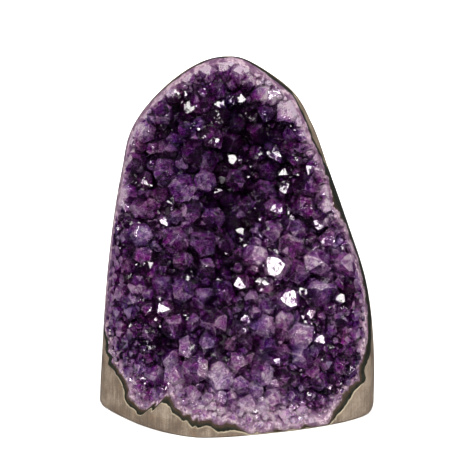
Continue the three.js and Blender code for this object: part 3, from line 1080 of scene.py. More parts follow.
@dataclass(frozen=True)
class AmethystFinish(Finish):
    """Clear violet quartz crystals: see-through, with a plain absorption, and paler towards the rim."""

    name: str = "clear amethyst"
    white: Colour = (0.84, 0.67, 0.77)
    pale: Colour = (0.62, 0.41, 0.58)
    lilac: Colour = (0.40, 0.17, 0.395)
    violet: Colour = (0.21, 0.050, 0.25)
    deep: Colour = (0.072, 0.013, 0.088)
    ink: Colour = (0.012, 0.0016, 0.015)
    absorbed: Colour = (0.70, 0.30, 0.72)
    density: float = 200.0
    clearness: float = 0.7
    column_size: float = 2.6

    @cached_property
    def where(self) -> Shade:
        """The place on the object."""
        return self.place()

    @cached_property
    def veils(self) -> Shade:
        """The milky veils inside the crystals, from 0 to 1."""
        return self.noise(self.where, 1.9, 5.0, 0.72)

    @cached_property
    def flaws(self) -> Shade:
        """The fine flaws inside the crystals, from 0 to 1."""
        return self.noise(self.where, 0.42, 3.0, 0.75)

    @cached_property
    def ground(self) -> Shade:
        """1 where the crystals are ground flush with the block, 0 behind that."""
        return 1 - self.attribute("below").between(0.08, 0.14)

    @cached_property
    def richness(self) -> Shade:
        """How deep the violet is, with painted shade: by place, crystal, face, veils and flaws, with painted
        shade low among the crystals and painted light on their tips.
        """
        own, facet, place, stand = (self.attribute(name) for name in ("own", "facet", "richness", "stand"))
        section = self.cells(self.three("column"), self.column_size, output="Color")
        crystal = (own - 0.5) * 0.4 + (facet - 0.5) * 0.7
        crystal = crystal * (1 - self.ground) + (section - 0.5) * 1.1 * self.ground
        # Painted shade low down among the crystals, away from the rim, and painted light on the tallest tips.
        low = (1 - stand.between(0.5, 5.0)) * place.between(0.1, 0.6) * (1 - self.ground)
        crystal = crystal + low * 0.34 - stand.between(4.0, 8.0) * 0.06
        return place + crystal + (self.veils - 0.5) * 2.4 + (self.flaws - 0.5) * 2.0

    def lined(self, colour: Shade) -> Shade:
        """Adds painted shade in the creases between crystals, painted highlights along their ridges, pale
        borders where they are ground, and painted glints as small white specks.

        Args:
            colour: The colour without them.

        Returns:
            The colour with them.
        """
        own, veils = self.attribute("own"), self.veils
        # Painted shade: the creases between crystals darken towards ink.
        gap = (1 - self.least("crease").between(0.0, 1.3)) * (veils + own * 0.6 - 0.25).between(0.15, 0.6)
        gap = gap * self.attribute("richness").between(0.1, 0.6) * (1 - self.ground)
        colour = self.mix(gap * 0.8, colour, self.ink)
        # Painted highlight: pale lines along the crystals' ridges.
        ridge = (1 - self.least("ridge").between(0.08, 0.3)) * (own + self.flaws - 0.45).between(0.1, 0.6)
        colour = self.mix(ridge * (1 - self.richness.between(0.45, 0.9)) * 0.65, colour, self.pale)
        borders = self.cells(self.three("column"), self.column_size, "DISTANCE_TO_EDGE") + (veils - 0.5) * 0.4
        colour = self.mix((1 - borders.between(0.0, 0.12)) * self.ground * 0.6, colour, self.pale)
        # Painted glints: small white specks where the violet is pale.
        painted_glints = (self.noise(self.where, 0.5, 1.0, 0.5) + (veils - 0.5) * 0.6).between(0.7, 0.76)
        return self.mix(painted_glints * (0.9 - self.richness.between(0.2, 0.8) * 0.8), colour, self.white)

    def tinged(self, colour: Shade) -> Shade:
        """Varies a colour's hue over the object, by crystal and in patches, and its strength in patches.

        Args:
            colour: The colour without it.

        Returns:
            The varied colour.
        """
        broad, fine = self.noise(self.where, 7.0, 2.0), self.noise(self.where, 1.3, 3.0, 0.7)
        hue = (broad - 0.5) * 0.24 + (self.attribute("own") - 0.5) * 0.05 + (fine - 0.5) * 0.1 + 0.49
        strength = self.noise(self.where, 2.4, 4.0, 0.7).between(0.36, 0.64) * 0.5 + 0.7
        inputs = {"Hue": hue, "Saturation": strength, "Color": colour}
        return self.shade(self.node("ShaderNodeHueSaturation", {}, inputs))

    def build(self) -> bpy.types.Material:
        """The material: a glassy surface tinted by place and by crystal, with painted shade and painted
        highlights, over a plain absorption.

        Returns:
            The finished material.
        """
        colour = self.ramp(
            self.richness,
            self.white,
            (-0.15, 0.2, self.pale),
            (0.05, 0.4, self.lilac),
            (0.25, 0.65, self.violet),
            (0.52, 0.98, self.deep),
            (0.88, 1.2, self.ink),
        )
        crushed = self.noise(self.where, 4.5, 3.0).between(0.56, 0.66) * (1 - self.ground)
        normal = self.mosaic(self.where, 0.42, crushed * 0.34, self.mosaic(self.where, 1.1, 0.06))
        inputs = {"Color": self.absorbed, "Density": self.density}
        absorption = self.node("ShaderNodeVolumeAbsorption", {}, inputs)
        self.surface(
            absorption.outputs[0],
            Base_Color=self.tinged(self.lined(colour)),
            Roughness=self.attribute("facet") ** 8.0 * 0.14 + self.flaws * 0.04 + self.ground * 0.4,
            IOR=QUARTZ_IOR,
            Transmission_Weight=self.clearness,
            Normal=self.bump(self.flaws, 0.012, 0.6, normal),
        )
        return self.made


@dataclass(frozen=True)
class FloorFinish(Finish):
    """The plain pale floor."""

    name: str = "pale floor"
    colour: Colour = (0.8, 0.8, 0.8)

    def build(self) -> bpy.types.Material:
        """The material.

        Returns:
            The finished material.
        """
        self.surface(Base_Color=self.colour, Roughness=0.7)
        return self.made


@dataclass(frozen=True)
class Pit:
    """A rounded pit in the hollow's wall, in front view: its middle, its radius and how deep it is."""

    x: float
    z: float
    radius: float
    depth: float


@dataclass(frozen=True)
class Layers:
    """The surfaces between the layers, from the basalt to the bed that the crystals grow from."""

    mouth: Mouth
    hollow_floor: Curve = Curve.through((0, -11), (25, -5), (55, 6.5), (82, 15), (112, 18))
    bed_floor: Curve = Curve.through((0, -25), (25, -18), (50, -8), (82, 3.5), (112, 9))
    hollow_squareness: float = 4.0
    bed_squareness: float = 7.0
    rind_floor: float = 2.4
    behind_side: float = 2.2
    behind_rind: float = 1.6
    gap: float = 0.15
    bed_under_feet: float = 1.1
    bed_over_feet: tuple[float, float] = (0.1, 0.5)
    bed_falls: tuple[float, float] = (2.0, 7.0)
    room_by_inside: float = 1.2
    column_slowness: float = 0.55
    relief_noise: LatticeNoise = LatticeNoise(21)
    lump_height: float = 1.5
    lump_length: float = 13.0
    lump_stretch: tuple[float, float, float] = (1.0, 0.4, 1.0)
    pits: tuple[Pit, ...] = (
        Pit(5.0, 86.0, 15.0, 6.0),
        Pit(-4.0, 66.0, 8.0, 3.5),
        Pit(-7.0, 48.0, 6.0, 3.5),
        Pit(-24.0, 28.0, 4.0, 3.0),
        Pit(27.0, 13.0, 5.0, 3.0),
        Pit(28.0, 61.0, 4.0, 2.5),
        Pit(-19.0, 98.0, 6.0, 2.5),
        Pit(8.0, 30.0, 4.5, 2.5),
        Pit(-30.0, 52.0, 4.5, 2.0),
        Pit(20.5, 48.0, 3.5, 2.0),
        Pit(35.0, 41.0, 3.0, 1.5),
        Pit(-19.0, 22.0, 3.5, 2.0),
    )
    pit_slope: tuple[float, float] = (0.35, 1.6)
    # Painted shade in the deep of the hollow: how it falls round the deepest pit and the others, how much a
    # pit darkens, and a dark streak of painted shade (its X, Z, fall and squash) with how much it darkens.
    deepest_shade: tuple[float, float, float] = (0.3, 1.7, 0.75)
    pit_shade: tuple[float, float] = (0.3, 1.5)
    pit_shade_weight: float = 0.45
    streak: tuple[float, float, float, float, float] = (-5.0, 57.0, 2.0, 13.0, 0.5)
    streak_shade_weight: float = 0.55
    crowding: float = 0.75
    past_edge: tuple[float, ...] = (1.04, 1.1, 1.2)
    before_all: float = -90.0

    def near(self, points: Array, x: float, z: float, start: float, end: float, squash: float = 1.0) -> Array:
        """1 near a place in front view, falling to 0 away from it.

        Args:
            points: Places, with X, Y and Z last.
            x: The place's X.
            z: The place's Z.
            start: The distance at which the fall starts.
            end: The distance at which it ends.
            squash: How much a distance upwards counts.

        Returns:
            Numbers from 0 to 1.
        """
        away = np.hypot(points[..., 0] - x, (points[..., 2] - z) * squash)
        return 1 - smoothstep(away, start, end)

    def by_pit(self, points: Array, pit: Pit, start: float, end: float, squash: float = 1.0) -> Array:
        """1 near a pit's middle, falling to 0 between two shares of its radius."""
        return self.near(points, pit.x, pit.z, start * pit.radius, end * pit.radius, squash)

    def relief(self, points: Array) -> Array:
        """How much deeper the bed lies at places: by broad lumps, and by rounded pits.

        Args:
            points: Places, with X, Y and Z last.

        Returns:
            Millimetres backwards.
        """
        deeper = self.lump_height * self.relief_noise.layers(points * self.lump_stretch, self.lump_length, 2)
        for pit in self.pits:
            deeper = deeper + pit.depth * self.by_pit(points, pit, *self.pit_slope)
        return deeper

    def recess(self, points: Array) -> Array:
        """How much painted shade darkens a place in the deep of the hollow and in its pits, from 0 to 1.

        Args:
            points: Places, with X, Y and Z last.

        Returns:
            The painted shade of each.
        """
        deepest, *others = self.pits
        dark = self.by_pit(points, deepest, *self.deepest_shade)
        dark = dark + self.streak_shade_weight * self.near(points, *self.streak)
        spots = sum(self.pit_shade_weight * self.by_pit(points, pit, *self.pit_shade) for pit in others)
        return np.clip(dark + spots, 0, 1)

    def hollow(self, gap: float = 0.0) -> Lining:
        """The basalt's wall, or with a gap the rind's back."""
        floor, squareness = self.hollow_floor, self.hollow_squareness
        return Lining(self.mouth, np.zeros_like, floor, squareness, self.behind_side, gap)

    def rind(self, gap: float = 0.0) -> Lining:
        """The rind's front, or with a gap the quartz's back."""
        floor, squareness = self.hollow_floor.raised(-self.rind_floor), self.hollow_squareness
        return Lining(self.mouth, self.mouth.rind_width, floor, squareness, self.behind_rind, gap)

    def feet_inset(self, angle: Array) -> Array:
        """How far inside the basalt's edge the crystals' feet start."""
        return self.mouth.rind_width(angle) + self.mouth.flush_width(angle)

    def feet(self, under: float = 0.0) -> Lining:
        """Where the crystals' feet lie, or a surface some way under them."""
        floor = self.bed_floor.raised(under)
        return Lining(self.mouth, self.feet_inset, floor, self.bed_squareness, 0.0, relief=self.relief)

    def bed(self) -> Lining:
        """The surface of the milky quartz that the crystals grow from."""
        floor = self.bed_floor
        return Lining(self.mouth, self.feet_inset, floor, self.bed_squareness, 0.0, relief=self.bed_relief)

    def bed_relief(self, points: Array) -> Array:
        """The feet's relief, with milky quartz standing round the feet near the rim and under them inside.

        Args:
            points: Places, with X, Y and Z last.

        Returns:
            Millimetres backwards.
        """
        angle, distance = self.mouth.polar(points[..., 0], points[..., 2])
        from_rim = self.mouth.edge(angle) - self.feet_inset(angle) - distance
        inner = smoothstep(from_rim, *self.bed_falls)
        low, high = self.bed_over_feet
        over = low + (high - low) * self.mouth.foot(angle)
        return self.relief(points) + self.bed_under_feet * inner - over * (1 - inner)

    def front_of(self, name: str, lining: Lining, turns: int, rings: int) -> bpy.types.Mesh:
        """Everything in front of a lining, as a closed mesh.

        Args:
            name: The mesh's name.
            lining: The surface at its back.
            turns: How many points it has round the mouth.
            rings: How many points it has from the mouth's middle to its edge.

        Returns:
            The mesh.
        """
        angle = -180 + 360 * np.arange(turns)[None] / turns
        share = np.linspace(0, 1, rings + 1)[1:] ** self.crowding
        share = np.concatenate([share, self.past_edge])[:, None]
        surface = lining.at(*np.broadcast_arrays(angle, share))
        before = surface[-1:].copy()
        before[..., 1] = self.before_all
        middle = lining.at(np.array([0.0]), np.array([0.0]))[0]
        end = np.array([self.mouth.middle_x, self.before_all, self.mouth.middle_z])
        return Solid.skin(name, middle, np.concatenate([surface, before]), end)

    def angle(self, points: Array) -> Array:
        """The angles of places round the mouth."""
        return self.mouth.polar(points[:, 0], points[:, 2])[0]

    def inside(self, points: Array) -> Array:
        """How far inside the basalt's edge places lie in front view."""
        angle, distance = self.mouth.polar(points[:, 0], points[:, 2])
        return self.mouth.edge(angle) - distance

    def below(self, points: Array) -> Array:
        """How far places lie behind the block's ground face."""
        return points[:, 1] - self.mouth.block.front_depth(points[:, 0], points[:, 2])

    def room(self, points: Array) -> Array:
        """How far places lie inside the block: behind its ground face, or from the mouth's edge if nearer."""
        return np.clip(np.minimum(self.below(points), self.room_by_inside * self.inside(points)), 0.0, None)

    def stand(self, points: Array) -> Array:
        """How far places stand out before the crystals' feet."""
        angle, distance = self.mouth.polar(points[:, 0], points[:, 2])
        share = distance / (self.mouth.edge(angle) - self.feet_inset(angle))
        return self.feet().at(angle, np.minimum(share, 1.0))[:, 1] - points[:, 1]

    def columns(self, points: Array) -> Array:
        """Places for a pattern of columns that stand on the rind: round the mouth, and slowly inwards."""
        return self.mouth.ring(self.angle(points), self.column_slowness * self.inside(points))


@dataclass(frozen=True)
class Piece:
    """The base of the pieces: its name, the node and the slot that it stands for, its finish."""

    layers: Layers
    name: str
    node: str
    slot: str
    finish: Finish
    surface_turns: int = 900
    surface_rings: int = 14
    sharp_angle: float = 38.0

    def surface(self, lining: Lining) -> bpy.types.Mesh:
        """Everything in front of a lining, finely divided."""
        return self.layers.front_of(f"{self.name}_front", lining, self.surface_turns, self.surface_rings)

    def between(self, block: bpy.types.Mesh, back: Lining, front: bpy.types.Mesh) -> bpy.types.Mesh:
        """What lies between a lining and a mesh before it, within the block, with its sharp edges marked.

        Args:
            block: The whole block.
            back: The lining at its back.
            front: The mesh that is cut from its front.

        Returns:
            The new mesh.
        """
        steps = [(Joining.COMMON, [block]), (Joining.CUT, [front])]
        mesh = Solid.combined(self.name, self.surface(back), steps)
        mesh.set_sharp_from_angle(angle=math.radians(self.sharp_angle))
        return mesh

    def dress(self, mesh: bpy.types.Mesh) -> None:
        """Gives a finished mesh its material and shows it in place of its node.

        Args:
            mesh: The finished mesh.
        """
        mesh.materials.clear()
        mesh.materials.append(self.finish.build())
        shown = bpy.data.objects.new(self.name, mesh)
        bpy.context.scene.collection.objects.link(shown)
        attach(shown, BODY)
        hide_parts(self.node)
        mesh.calc_loop_triangles()
        log.info("%s: %d triangles", self.name, len(mesh.loop_triangles))


@dataclass(frozen=True)
class BasaltMatrix(Piece):
    """The host rock: the block less its hollow."""

    name: str = "basalt_stone"
    node: str = "basalt_matrix"
    slot: str = "basalt"
    finish: Finish = BasaltFinish()
    heights: int = 170
    turns: int = 430
    grain_noise: LatticeNoise = LatticeNoise(3)
    grain_size: float = 5.0
    grain_height: float = 0.75
    underside: float = -0.9

    def grain(self, points: Array) -> Array:
        """The finer relief of the broken rock: noise whose valleys are sharp."""
        return self.grain_height * (1 - 2 * np.abs(self.grain_noise.layers(points, self.grain_size, 4)))

    def whole(self, name: str, inset: float = 0.0) -> bpy.types.Mesh:
        """The block before it is hollowed, or one that is smaller by an inset."""
        block = self.layers.mouth.block
        rings = block.rings(self.heights, self.turns, inset, self.grain)
        top = np.array([block.middle(block.height), block.lean(block.height), block.height - inset], float)
        return Solid.skin(name, np.array([0.0, 0.0, inset]), rings, top)

    def smooth(self, mesh: bpy.types.Mesh) -> None:
        """Shades a mesh smooth, but for its underside and its sharp edges.

        Args:
            mesh: The mesh.
        """
        normals = np.empty(len(mesh.polygons) * 3, np.float32)
        mesh.polygons.foreach_get("normal", normals)
        mesh.polygons.foreach_set("use_smooth", normals.reshape(-1, 3)[:, 2] > self.underside)
        mesh.set_sharp_from_angle(angle=math.radians(self.sharp_angle))

    def build(self) -> bpy.types.Mesh:
        """Cuts the hollow and marks where the rock is broken and how far the rind is.

        Returns:
            The finished mesh.
        """
        hollow = self.surface(self.layers.hollow())
        mesh = Solid.combined(self.name, self.whole("block"), [(Joining.CUT, [hollow])])
        points, block = Solid.points(mesh), self.layers.mouth.block
        z = points[:, 2]
        behind = (points[:, 1] - block.lean(z)) / np.maximum(block.back(z), 1.0)
        broken = smoothstep(behind, *block.rough_bulge) * smoothstep(z, *block.rough_height)
        beside, below = -self.layers.inside(points), self.layers.below(points)
        Solid.mark(mesh, Domain.POINT, broken=broken, rind_distance=beside, below=below)
        self.smooth(mesh)
        return mesh


@dataclass(frozen=True)
class DarkRind(Piece):
    """The green-black layer between the basalt and the quartz."""

    name: str = "rind_layer"
    node: str = "dark_rind"
    slot: str = "rind"
    finish: Finish = RindFinish()
    most_across: float = 1.5

    def build(self, block: bpy.types.Mesh) -> bpy.types.Mesh:
        """The space between the rind's two faces, with the share of the way across it.

        Args:
            block: The whole block.

        Returns:
            The finished mesh.
        """
        mesh = self.between(block, self.layers.hollow(self.layers.gap), self.surface(self.layers.rind()))
        points = Solid.points(mesh)
        across = self.layers.inside(points) / self.layers.mouth.rind_width(self.layers.angle(points))
        Solid.mark(mesh, Domain.POINT, across=np.clip(across, 0, self.most_across))
        return mesh


@dataclass(frozen=True)
class QuartzBed(Piece):
    """The milky quartz that lines the rind, ground flush at the rim and rough under the crystals."""

    name: str = "quartz_bed"
    node: str = "amethyst_crust"
    slot: str = "amethyst"
    finish: Finish = QuartzFinish()
    bed_turns: int = 720
    bed_rings: int = 60

    def build(self, block: bpy.types.Mesh) -> bpy.types.Mesh:
        """The space between the rind and the bed's surface, with what its colours depend on.

        Args:
            block: The whole block.

        Returns:
            The finished mesh.
        """
        layers, mouth = self.layers, self.layers.mouth
        bed = layers.front_of("bed", layers.bed(), self.bed_turns, self.bed_rings)
        mesh = self.between(block, layers.rind(layers.gap), bed)
        points = Solid.points(mesh)
        angle = layers.angle(points)
        Solid.mark(
            mesh,
            Domain.POINT,
            inside=layers.inside(points) - mouth.rind_width(angle),
            foot=mouth.foot(angle),
            below=layers.below(points),
            # The painted shade of the hollow's deep, which the finish darkens.
            recess=layers.recess(points),
            column=layers.columns(points),
        )
        return mesh


@dataclass(frozen=True)
class Generation:
    """Crystals of one size: how far apart they stand, how wide they are and how far they rise."""

    spacing: float
    half_width: tuple[float, float]
    rise: tuple[float, float]
    tilt: float


@dataclass(frozen=True)
class Chosen:
    """A listed crystal: where its foot is, its half width, how far it rises, and its look.

    A crystal that mirrors a softbox is turned so that one tip face throws that light at the camera.
    """

    x: float
    z: float
    half_width: float
    rise: float
    own: float = 0.5
    mirrors: str | None = None


@dataclass(frozen=True)
class AmethystCrystals(Piece):
    """The crystals on the bed: six sides and six sloping faces each, grown together into one solid."""

    name: str = "amethyst_crystals"
    node: str = "amethyst_crust"
    slot: str = "amethyst"
    finish: Finish = AmethystFinish()
    studio: "Studio" = field(kw_only=True)
    chosen: tuple[Chosen, ...] = (
        Chosen(12.2, 50.0, 3.6, 3.6, 0.5, "left"),
        Chosen(17.4, 40.1, 3.2, 3.4, 0.5, "right"),
        Chosen(1.0, 46.3, 2.6, 3.0, 0.5, "left"),
        Chosen(34.3, 39.9, 2.0, 2.4, 0.5, "right"),
        Chosen(-24.6, 38.0, 2.5, 3.0, 0.5, "left"),
        Chosen(24.0, 36.8, 1.7, 2.6, 0.4, "top_right"),
        Chosen(2.0, 34.9, 1.8, 3.0, 0.5, "top_left"),
        Chosen(27.4, 27.9, 1.8, 2.6, 0.5, "right"),
        Chosen(1.3, 104.2, 1.7, 2.4, 0.6, "right"),
        Chosen(-1.7, 80.9, 2.1, 3.0, 0.9, "right"),
        Chosen(18.3, 79.5, 1.9, 2.6, 0.5, "left"),
        Chosen(24.9, 82.6, 1.7, 2.0, 0.4, "left"),
        Chosen(16.2, 72.9, 2.1, 2.8, 0.5, "left"),
        Chosen(2.9, 59.7, 1.6, 2.6, 0.8, "top"),
        Chosen(-24.3, 64.8, 1.6, 2.6, 0.5, "top_left"),
        Chosen(-18.1, 74.4, 4.0, 4.2, 0.0),
        Chosen(-15.6, 67.4, 3.2, 3.2, 0.3),
        Chosen(-8.4, 63.8, 3.4, 4.0, 0.3),
        Chosen(17.0, 99.5, 3.8, 2.6, 0.2),
        Chosen(-30.6, 92.5, 3.2, 2.2, 0.0),
        Chosen(29.2, 74.4, 3.0, 2.4, 0.0),
        Chosen(-5.8, 17.0, 4.0, 3.6, 0.1),
        Chosen(7.9, 17.7, 3.6, 3.4, 0.2),
        Chosen(34.8, 51.0, 3.6, 2.8, 0.3),
        Chosen(25.8, 51.5, 3.8, 3.4, 0.3),
    )
    generations: tuple[Generation, ...] = (
        Generation(6.4, (2.6, 4.4), (0.6, 4.6), 18.0),
        Generation(4.0, (1.5, 2.4), (0.2, 2.6), 26.0),
        Generation(2.7, (0.9, 1.5), (0.2, 2.0), 34.0),
        Generation(1.9, (0.6, 0.95), (0.3, 1.8), 40.0),
    )
    face_to_axis: float = 51.8
    side_out: tuple[float, float] = (0.98, 1.2)
    large_face: tuple[float, float] = (0.78, 1.08)
    small_face: tuple[float, float] = (1.0, 1.3)
    tip_height: float = 1.18
    least_half_width: float = 0.6
    width_by_room: float = 0.45
    ground_off: float = 0.6
    root: float = 4.0
    root_kept: float = 1.6
    root_turns: int = 360
    root_rings: int = 24
    under_ground_face: float = 0.06
    mostly_narrow: float = 1.4
    tilt_spread: float = 0.75
    reach_by_width: float = 1.3
    reach_to_spare: float = 1.25
    same_corner: float = 1e-3
    on_face: float = 1e-7
    plain_richness: float = 0.5
    patch_richness: float = 0.18
    patch_size: float = 10.0
    patch_shift: float = 71.0
    # How much darker the crystals are inwards and towards each side, and how much painted shade darkens them
    # in the deep of the hollow.
    inner_richness: Rise = Rise(0.12, 1.0, 12.0)
    left_richness: Rise = Rise(0.24, -8.0, 24.0)
    right_richness: Rise = Rise(0.07, 10.0, 24.0)
    recess_richness: float = 0.54
    milky_paleness: float = 0.72
    milky_falls: tuple[float, float] = (0.15, 1.35)
    most_richness: float = 1.2
    seed: int = 11
    tries: int = 26000
    tried_turns: int = 181
    tried_shares: tuple[float, float, int] = (0.02, 1.03, 61)

    @cached_property
    def normals(self) -> Array:
        """The directions of a crystal's faces: six sides, six tip faces and its root."""
        turn = np.radians(60 * np.arange(6))
        slope = math.radians(self.face_to_axis)
        sides = np.stack([np.cos(turn), np.sin(turn), np.zeros(6)], axis=-1)
        tips = np.concatenate([sides[:, :2] * math.sin(slope), np.full((6, 1), math.cos(slope))], axis=-1)
        return np.concatenate([sides, tips, [[0, 0, -1]]])

    @cached_property
    def feet(self) -> Lining:
        """Where the crystals' feet lie."""
        return self.layers.feet()

    def scattered(self, draw: np.random.Generator) -> tuple[Array, Array]:
        """Places spread evenly over the bed, walls and floor alike.

        The bed is laid out as a grid. A cell is drawn as often as its area is large, and a place is
        drawn inside it.

        Args:
            draw: The source of chance.

        Returns:
            Angles and shares of the places.
        """
        angle = np.linspace(-180, 180, self.tried_turns)
        share = np.linspace(*self.tried_shares)
        grid = self.feet.at(*np.meshgrid(angle, share))
        across = grid[:-1, 1:] - grid[:-1, :-1]
        outwards = grid[1:, :-1] - grid[:-1, :-1]
        area = np.linalg.norm(np.cross(across, outwards), axis=-1).ravel()
        cell = draw.choice(len(area), self.tries, p=area / area.sum())
        row, column = np.divmod(cell, len(angle) - 1)
        within = draw.random((2, self.tries))
        return (
            angle[column] + within[0] * (angle[1] - angle[0]),
            share[row] + within[1] * (share[1] - share[0]),
        )

    def seeds(self) -> tuple[Array, Array, Array, Array]:
        """Chooses where crystals stand, the largest first, none nearer to another than its spacing.

        Returns:
            Each crystal's angle, share, place and generation.
        """
        draw = np.random.default_rng(self.seed)
        mouth = self.layers.mouth
        placed, distance = mouth.polar(*np.array([(one.x, one.z) for one in self.chosen]).T)
        angle, share = self.scattered(draw)
        angle = np.concatenate([placed, angle])
        share = np.concatenate([distance / (mouth.edge(placed) - self.layers.feet_inset(placed)), share])
        places = self.feet.at(angle, share)
        generation = np.full(len(places), -1)
        generation[: len(self.chosen)] = 0
        for rank, size in enumerate(self.generations):
            free = np.ones(len(places), bool)
            for other in places[generation >= 0]:
                free &= ((places - other) ** 2).sum(-1) >= size.spacing**2
            while free.any():
                first = int(np.argmax(free))
                generation[first] = rank
                free &= ((places - places[first]) ** 2).sum(-1) >= size.spacing**2
        kept = generation >= 0
        return angle[kept], share[kept], places[kept], generation[kept]

    def shapes(self, half_width: Array, draw: np.random.Generator) -> tuple[Array, Array]:
        """How far each crystal's faces lie from its middle, and all corners of three faces.

        A corner is where three faces meet, worked out for every three faces at once, and it counts
        only where it lies behind all the others.

        Args:
            half_width: Each crystal's half width.
            draw: The source of chance.

        Returns:
            The corners as crystal, three faces and place, and which of them count.
        """
        count = len(half_width)
        slope = math.sin(math.radians(self.face_to_axis))
        sides = draw.uniform(*self.side_out, (count, 6))
        large = draw.uniform(*self.large_face, (count, 3))
        small = draw.uniform(*self.small_face, (count, 3))
        tips = np.stack([large, small], axis=-1).reshape(count, 6) * slope
        out = np.concatenate([sides * half_width[:, None], tips * half_width[:, None]], axis=1)
        out = np.concatenate([out, np.full((count, 1), self.root)], axis=1)
        three = self.threes
        corners = np.einsum("tij,ctj->cti", np.linalg.inv(self.normals[three]), out[:, three])
        behind = np.einsum("cti,pi->ctp", corners, self.normals) <= out[:, None] + self.on_face
        return corners, behind.all(axis=-1)

    @cached_property
    def threes(self) -> Array:
        """Every three faces that meet in one point."""
        three = np.array(list(combinations(range(len(self.normals)), 3)))
        return three[np.abs(np.linalg.det(self.normals[three])) > 1e-6]

    def faces(self, corners: Array, counts: Array) -> tuple[Array, Array, Array, Array]:
        """Joins the corners into faces, by sorting each face's corners round its middle.

        Args:
            corners: Corners by crystal and three faces.
            counts: Which corners count.

        Returns:
            Points, the crystal of each, the corner numbers of all faces in a row, and for each
            corner number its face.
        """
        crystal, three = np.nonzero(counts)
        place = corners[crystal, three]
        key = np.column_stack([crystal, np.round(place / self.same_corner).astype(int)])
        _, first, same = np.unique(key, axis=0, return_index=True, return_inverse=True)
        same = same.ravel()
        face = (crystal[:, None] * len(self.normals) + self.threes[three]).ravel()
        pairs = np.unique(np.column_stack([face, np.repeat(same, 3)]), axis=0)
        used, number, size = np.unique(pairs[:, 0], return_inverse=True, return_counts=True)
        pairs = pairs[size[number] > 2]
        used, number, size = np.unique(pairs[:, 0], return_inverse=True, return_counts=True)
        points = place[first]
        at = points[pairs[:, 1]]
        middle = np.stack([np.bincount(number, at[:, k]) for k in range(3)], axis=-1) / size[:, None]
        normal = self.normals[used % len(self.normals)]
        right = unit(np.cross(normal, normal[:, [1, 2, 0]] + (0.3, 0.5, 0.7)))
        up = np.cross(normal, right)
        arm = at - middle[number]
        turn = np.arctan2((arm * up[number]).sum(-1), (arm * right[number]).sum(-1))
        order = np.lexsort([turn, number])
        return points, crystal[first], pairs[order, 1], used[number[order]]

    def turned(self, axis: Array, spin: Array) -> Array:
        """The matrices that turn a crystal's axis to a direction, after a spin about itself.

        Args:
            axis: Each crystal's direction.
            spin: Its spin in radians.

        Returns:
            A matrix for each.
        """
        side = unit(np.cross(axis, (0.31, 0.17, 0.93)))
        other = np.cross(axis, side)
        first = np.cos(spin)[:, None] * side + np.sin(spin)[:, None] * other
        return np.stack([first, np.cross(axis, first), axis], axis=-1)

    def mirroring(self, places: Array, normal: Array, softboxes: Sequence[str]) -> tuple[Array, Array]:
        """Turns crystals so that one tip face of each mirrors a softbox to the camera.

        That face is square to the half way direction between camera and softbox. The axis slopes away
        from it by the crystal's own angle, to the side of the bed's normal.

        Args:
            places: Where the crystals stand.
            normal: The bed's normal there.
            softboxes: The name of the softbox that each mirrors.

        Returns:
            Their axes, and their spins about them.
        """
        lamps = {box.name: np.array(box.place) / MM for box in self.studio.softboxes}
        to_lamp = unit(np.array([lamps[name] for name in softboxes]) - places)
        half = unit(unit(np.array(self.studio.eye()) / MM - places) + to_lamp)
        aside = unit(normal - (normal * half).sum(-1, keepdims=True) * half)
        slope = math.radians(self.face_to_axis)
        axis = math.cos(slope) * half + math.sin(slope) * aside
        first = (half - math.cos(slope) * axis) / math.sin(slope)
        unspun = self.turned(axis, np.zeros(len(axis)))
        return axis, np.arctan2((first * unspun[:, :, 1]).sum(-1), (first * unspun[:, :, 0]).sum(-1))

    def classes(self, places: Array, reach: Array) -> Array:
        """Sorts crystals into classes so that no two in a class touch.

        Args:
            places: Where they stand.
            reach: How far each reaches.

        Returns:
            Each crystal's class.
        """
        chosen = np.zeros(len(places), int)
        for i in range(1, len(places)):
            near = np.linalg.norm(places[:i] - places[i], axis=-1) < reach[:i] + reach[i]
            taken = np.bincount(chosen[:i][near], minlength=1) > 0
            free = np.flatnonzero(~taken)
            chosen[i] = free[0] if len(free) else len(taken)
        return chosen

    def sizes(self, places: Array, generation: Array, draw: np.random.Generator) -> tuple[Array, Array]:
        """How wide the crystals are and how far they rise, within their generation's spans and their room.

        Args:
            places: Where they stand.
            generation: Their generations.
            draw: The source of chance.

        Returns:
            Their half widths and rises.
        """
        count, placed = len(places), len(self.chosen)
        spans = np.array([(*size.half_width, *size.rise) for size in self.generations])[generation]
        half_width = spans[:, 0] + (spans[:, 1] - spans[:, 0]) * draw.random(count) ** self.mostly_narrow
        rise = spans[:, 2] + (spans[:, 3] - spans[:, 2]) * draw.random(count)
        room = self.layers.room(places)
        half_width = np.minimum(half_width, self.least_half_width + self.width_by_room * room)
        half_width[:placed] = [one.half_width for one in self.chosen]
        rise[:placed] = [one.rise for one in self.chosen]
        return half_width, np.minimum(rise, room + self.ground_off - self.tip_height * half_width)

    def grown(self, draw: np.random.Generator) -> tuple[Array, Array, Array, Array, Array]:
        """The crystals where they grew: square to the bed but for a chance tilt, or mirroring a softbox.

        Args:
            draw: The source of chance.

        Returns:
            Points, the corner numbers of all faces in a row, for each corner number its face, and
            each crystal's middle and reach.
        """
        angle, share, places, generation = self.seeds()
        half_width, rise = self.sizes(places, generation, draw)
        normal = self.feet.normal(angle, share)
        tilt = np.radians([size.tilt for size in self.generations])[generation, None]
        axis = unit(normal + tilt * draw.normal(0, self.tilt_spread, normal.shape))
        points, crystal, numbers, face = self.faces(*self.shapes(half_width, draw))
        spin = draw.uniform(0, 2 * math.pi, len(places))
        mirrors = np.flatnonzero([one.mirrors is not None for one in self.chosen])
        softboxes = [self.chosen[number].mirrors for number in mirrors]
        axis[mirrors], spin[mirrors] = self.mirroring(places[mirrors], normal[mirrors], softboxes)
        middle = places + axis * rise[:, None]
        points = np.einsum("vij,vj->vi", self.turned(axis, spin)[crystal], points) + middle[crystal]
        reach = np.maximum(self.root, self.reach_by_width * half_width) * self.reach_to_spare
        return points, numbers, face, middle, reach

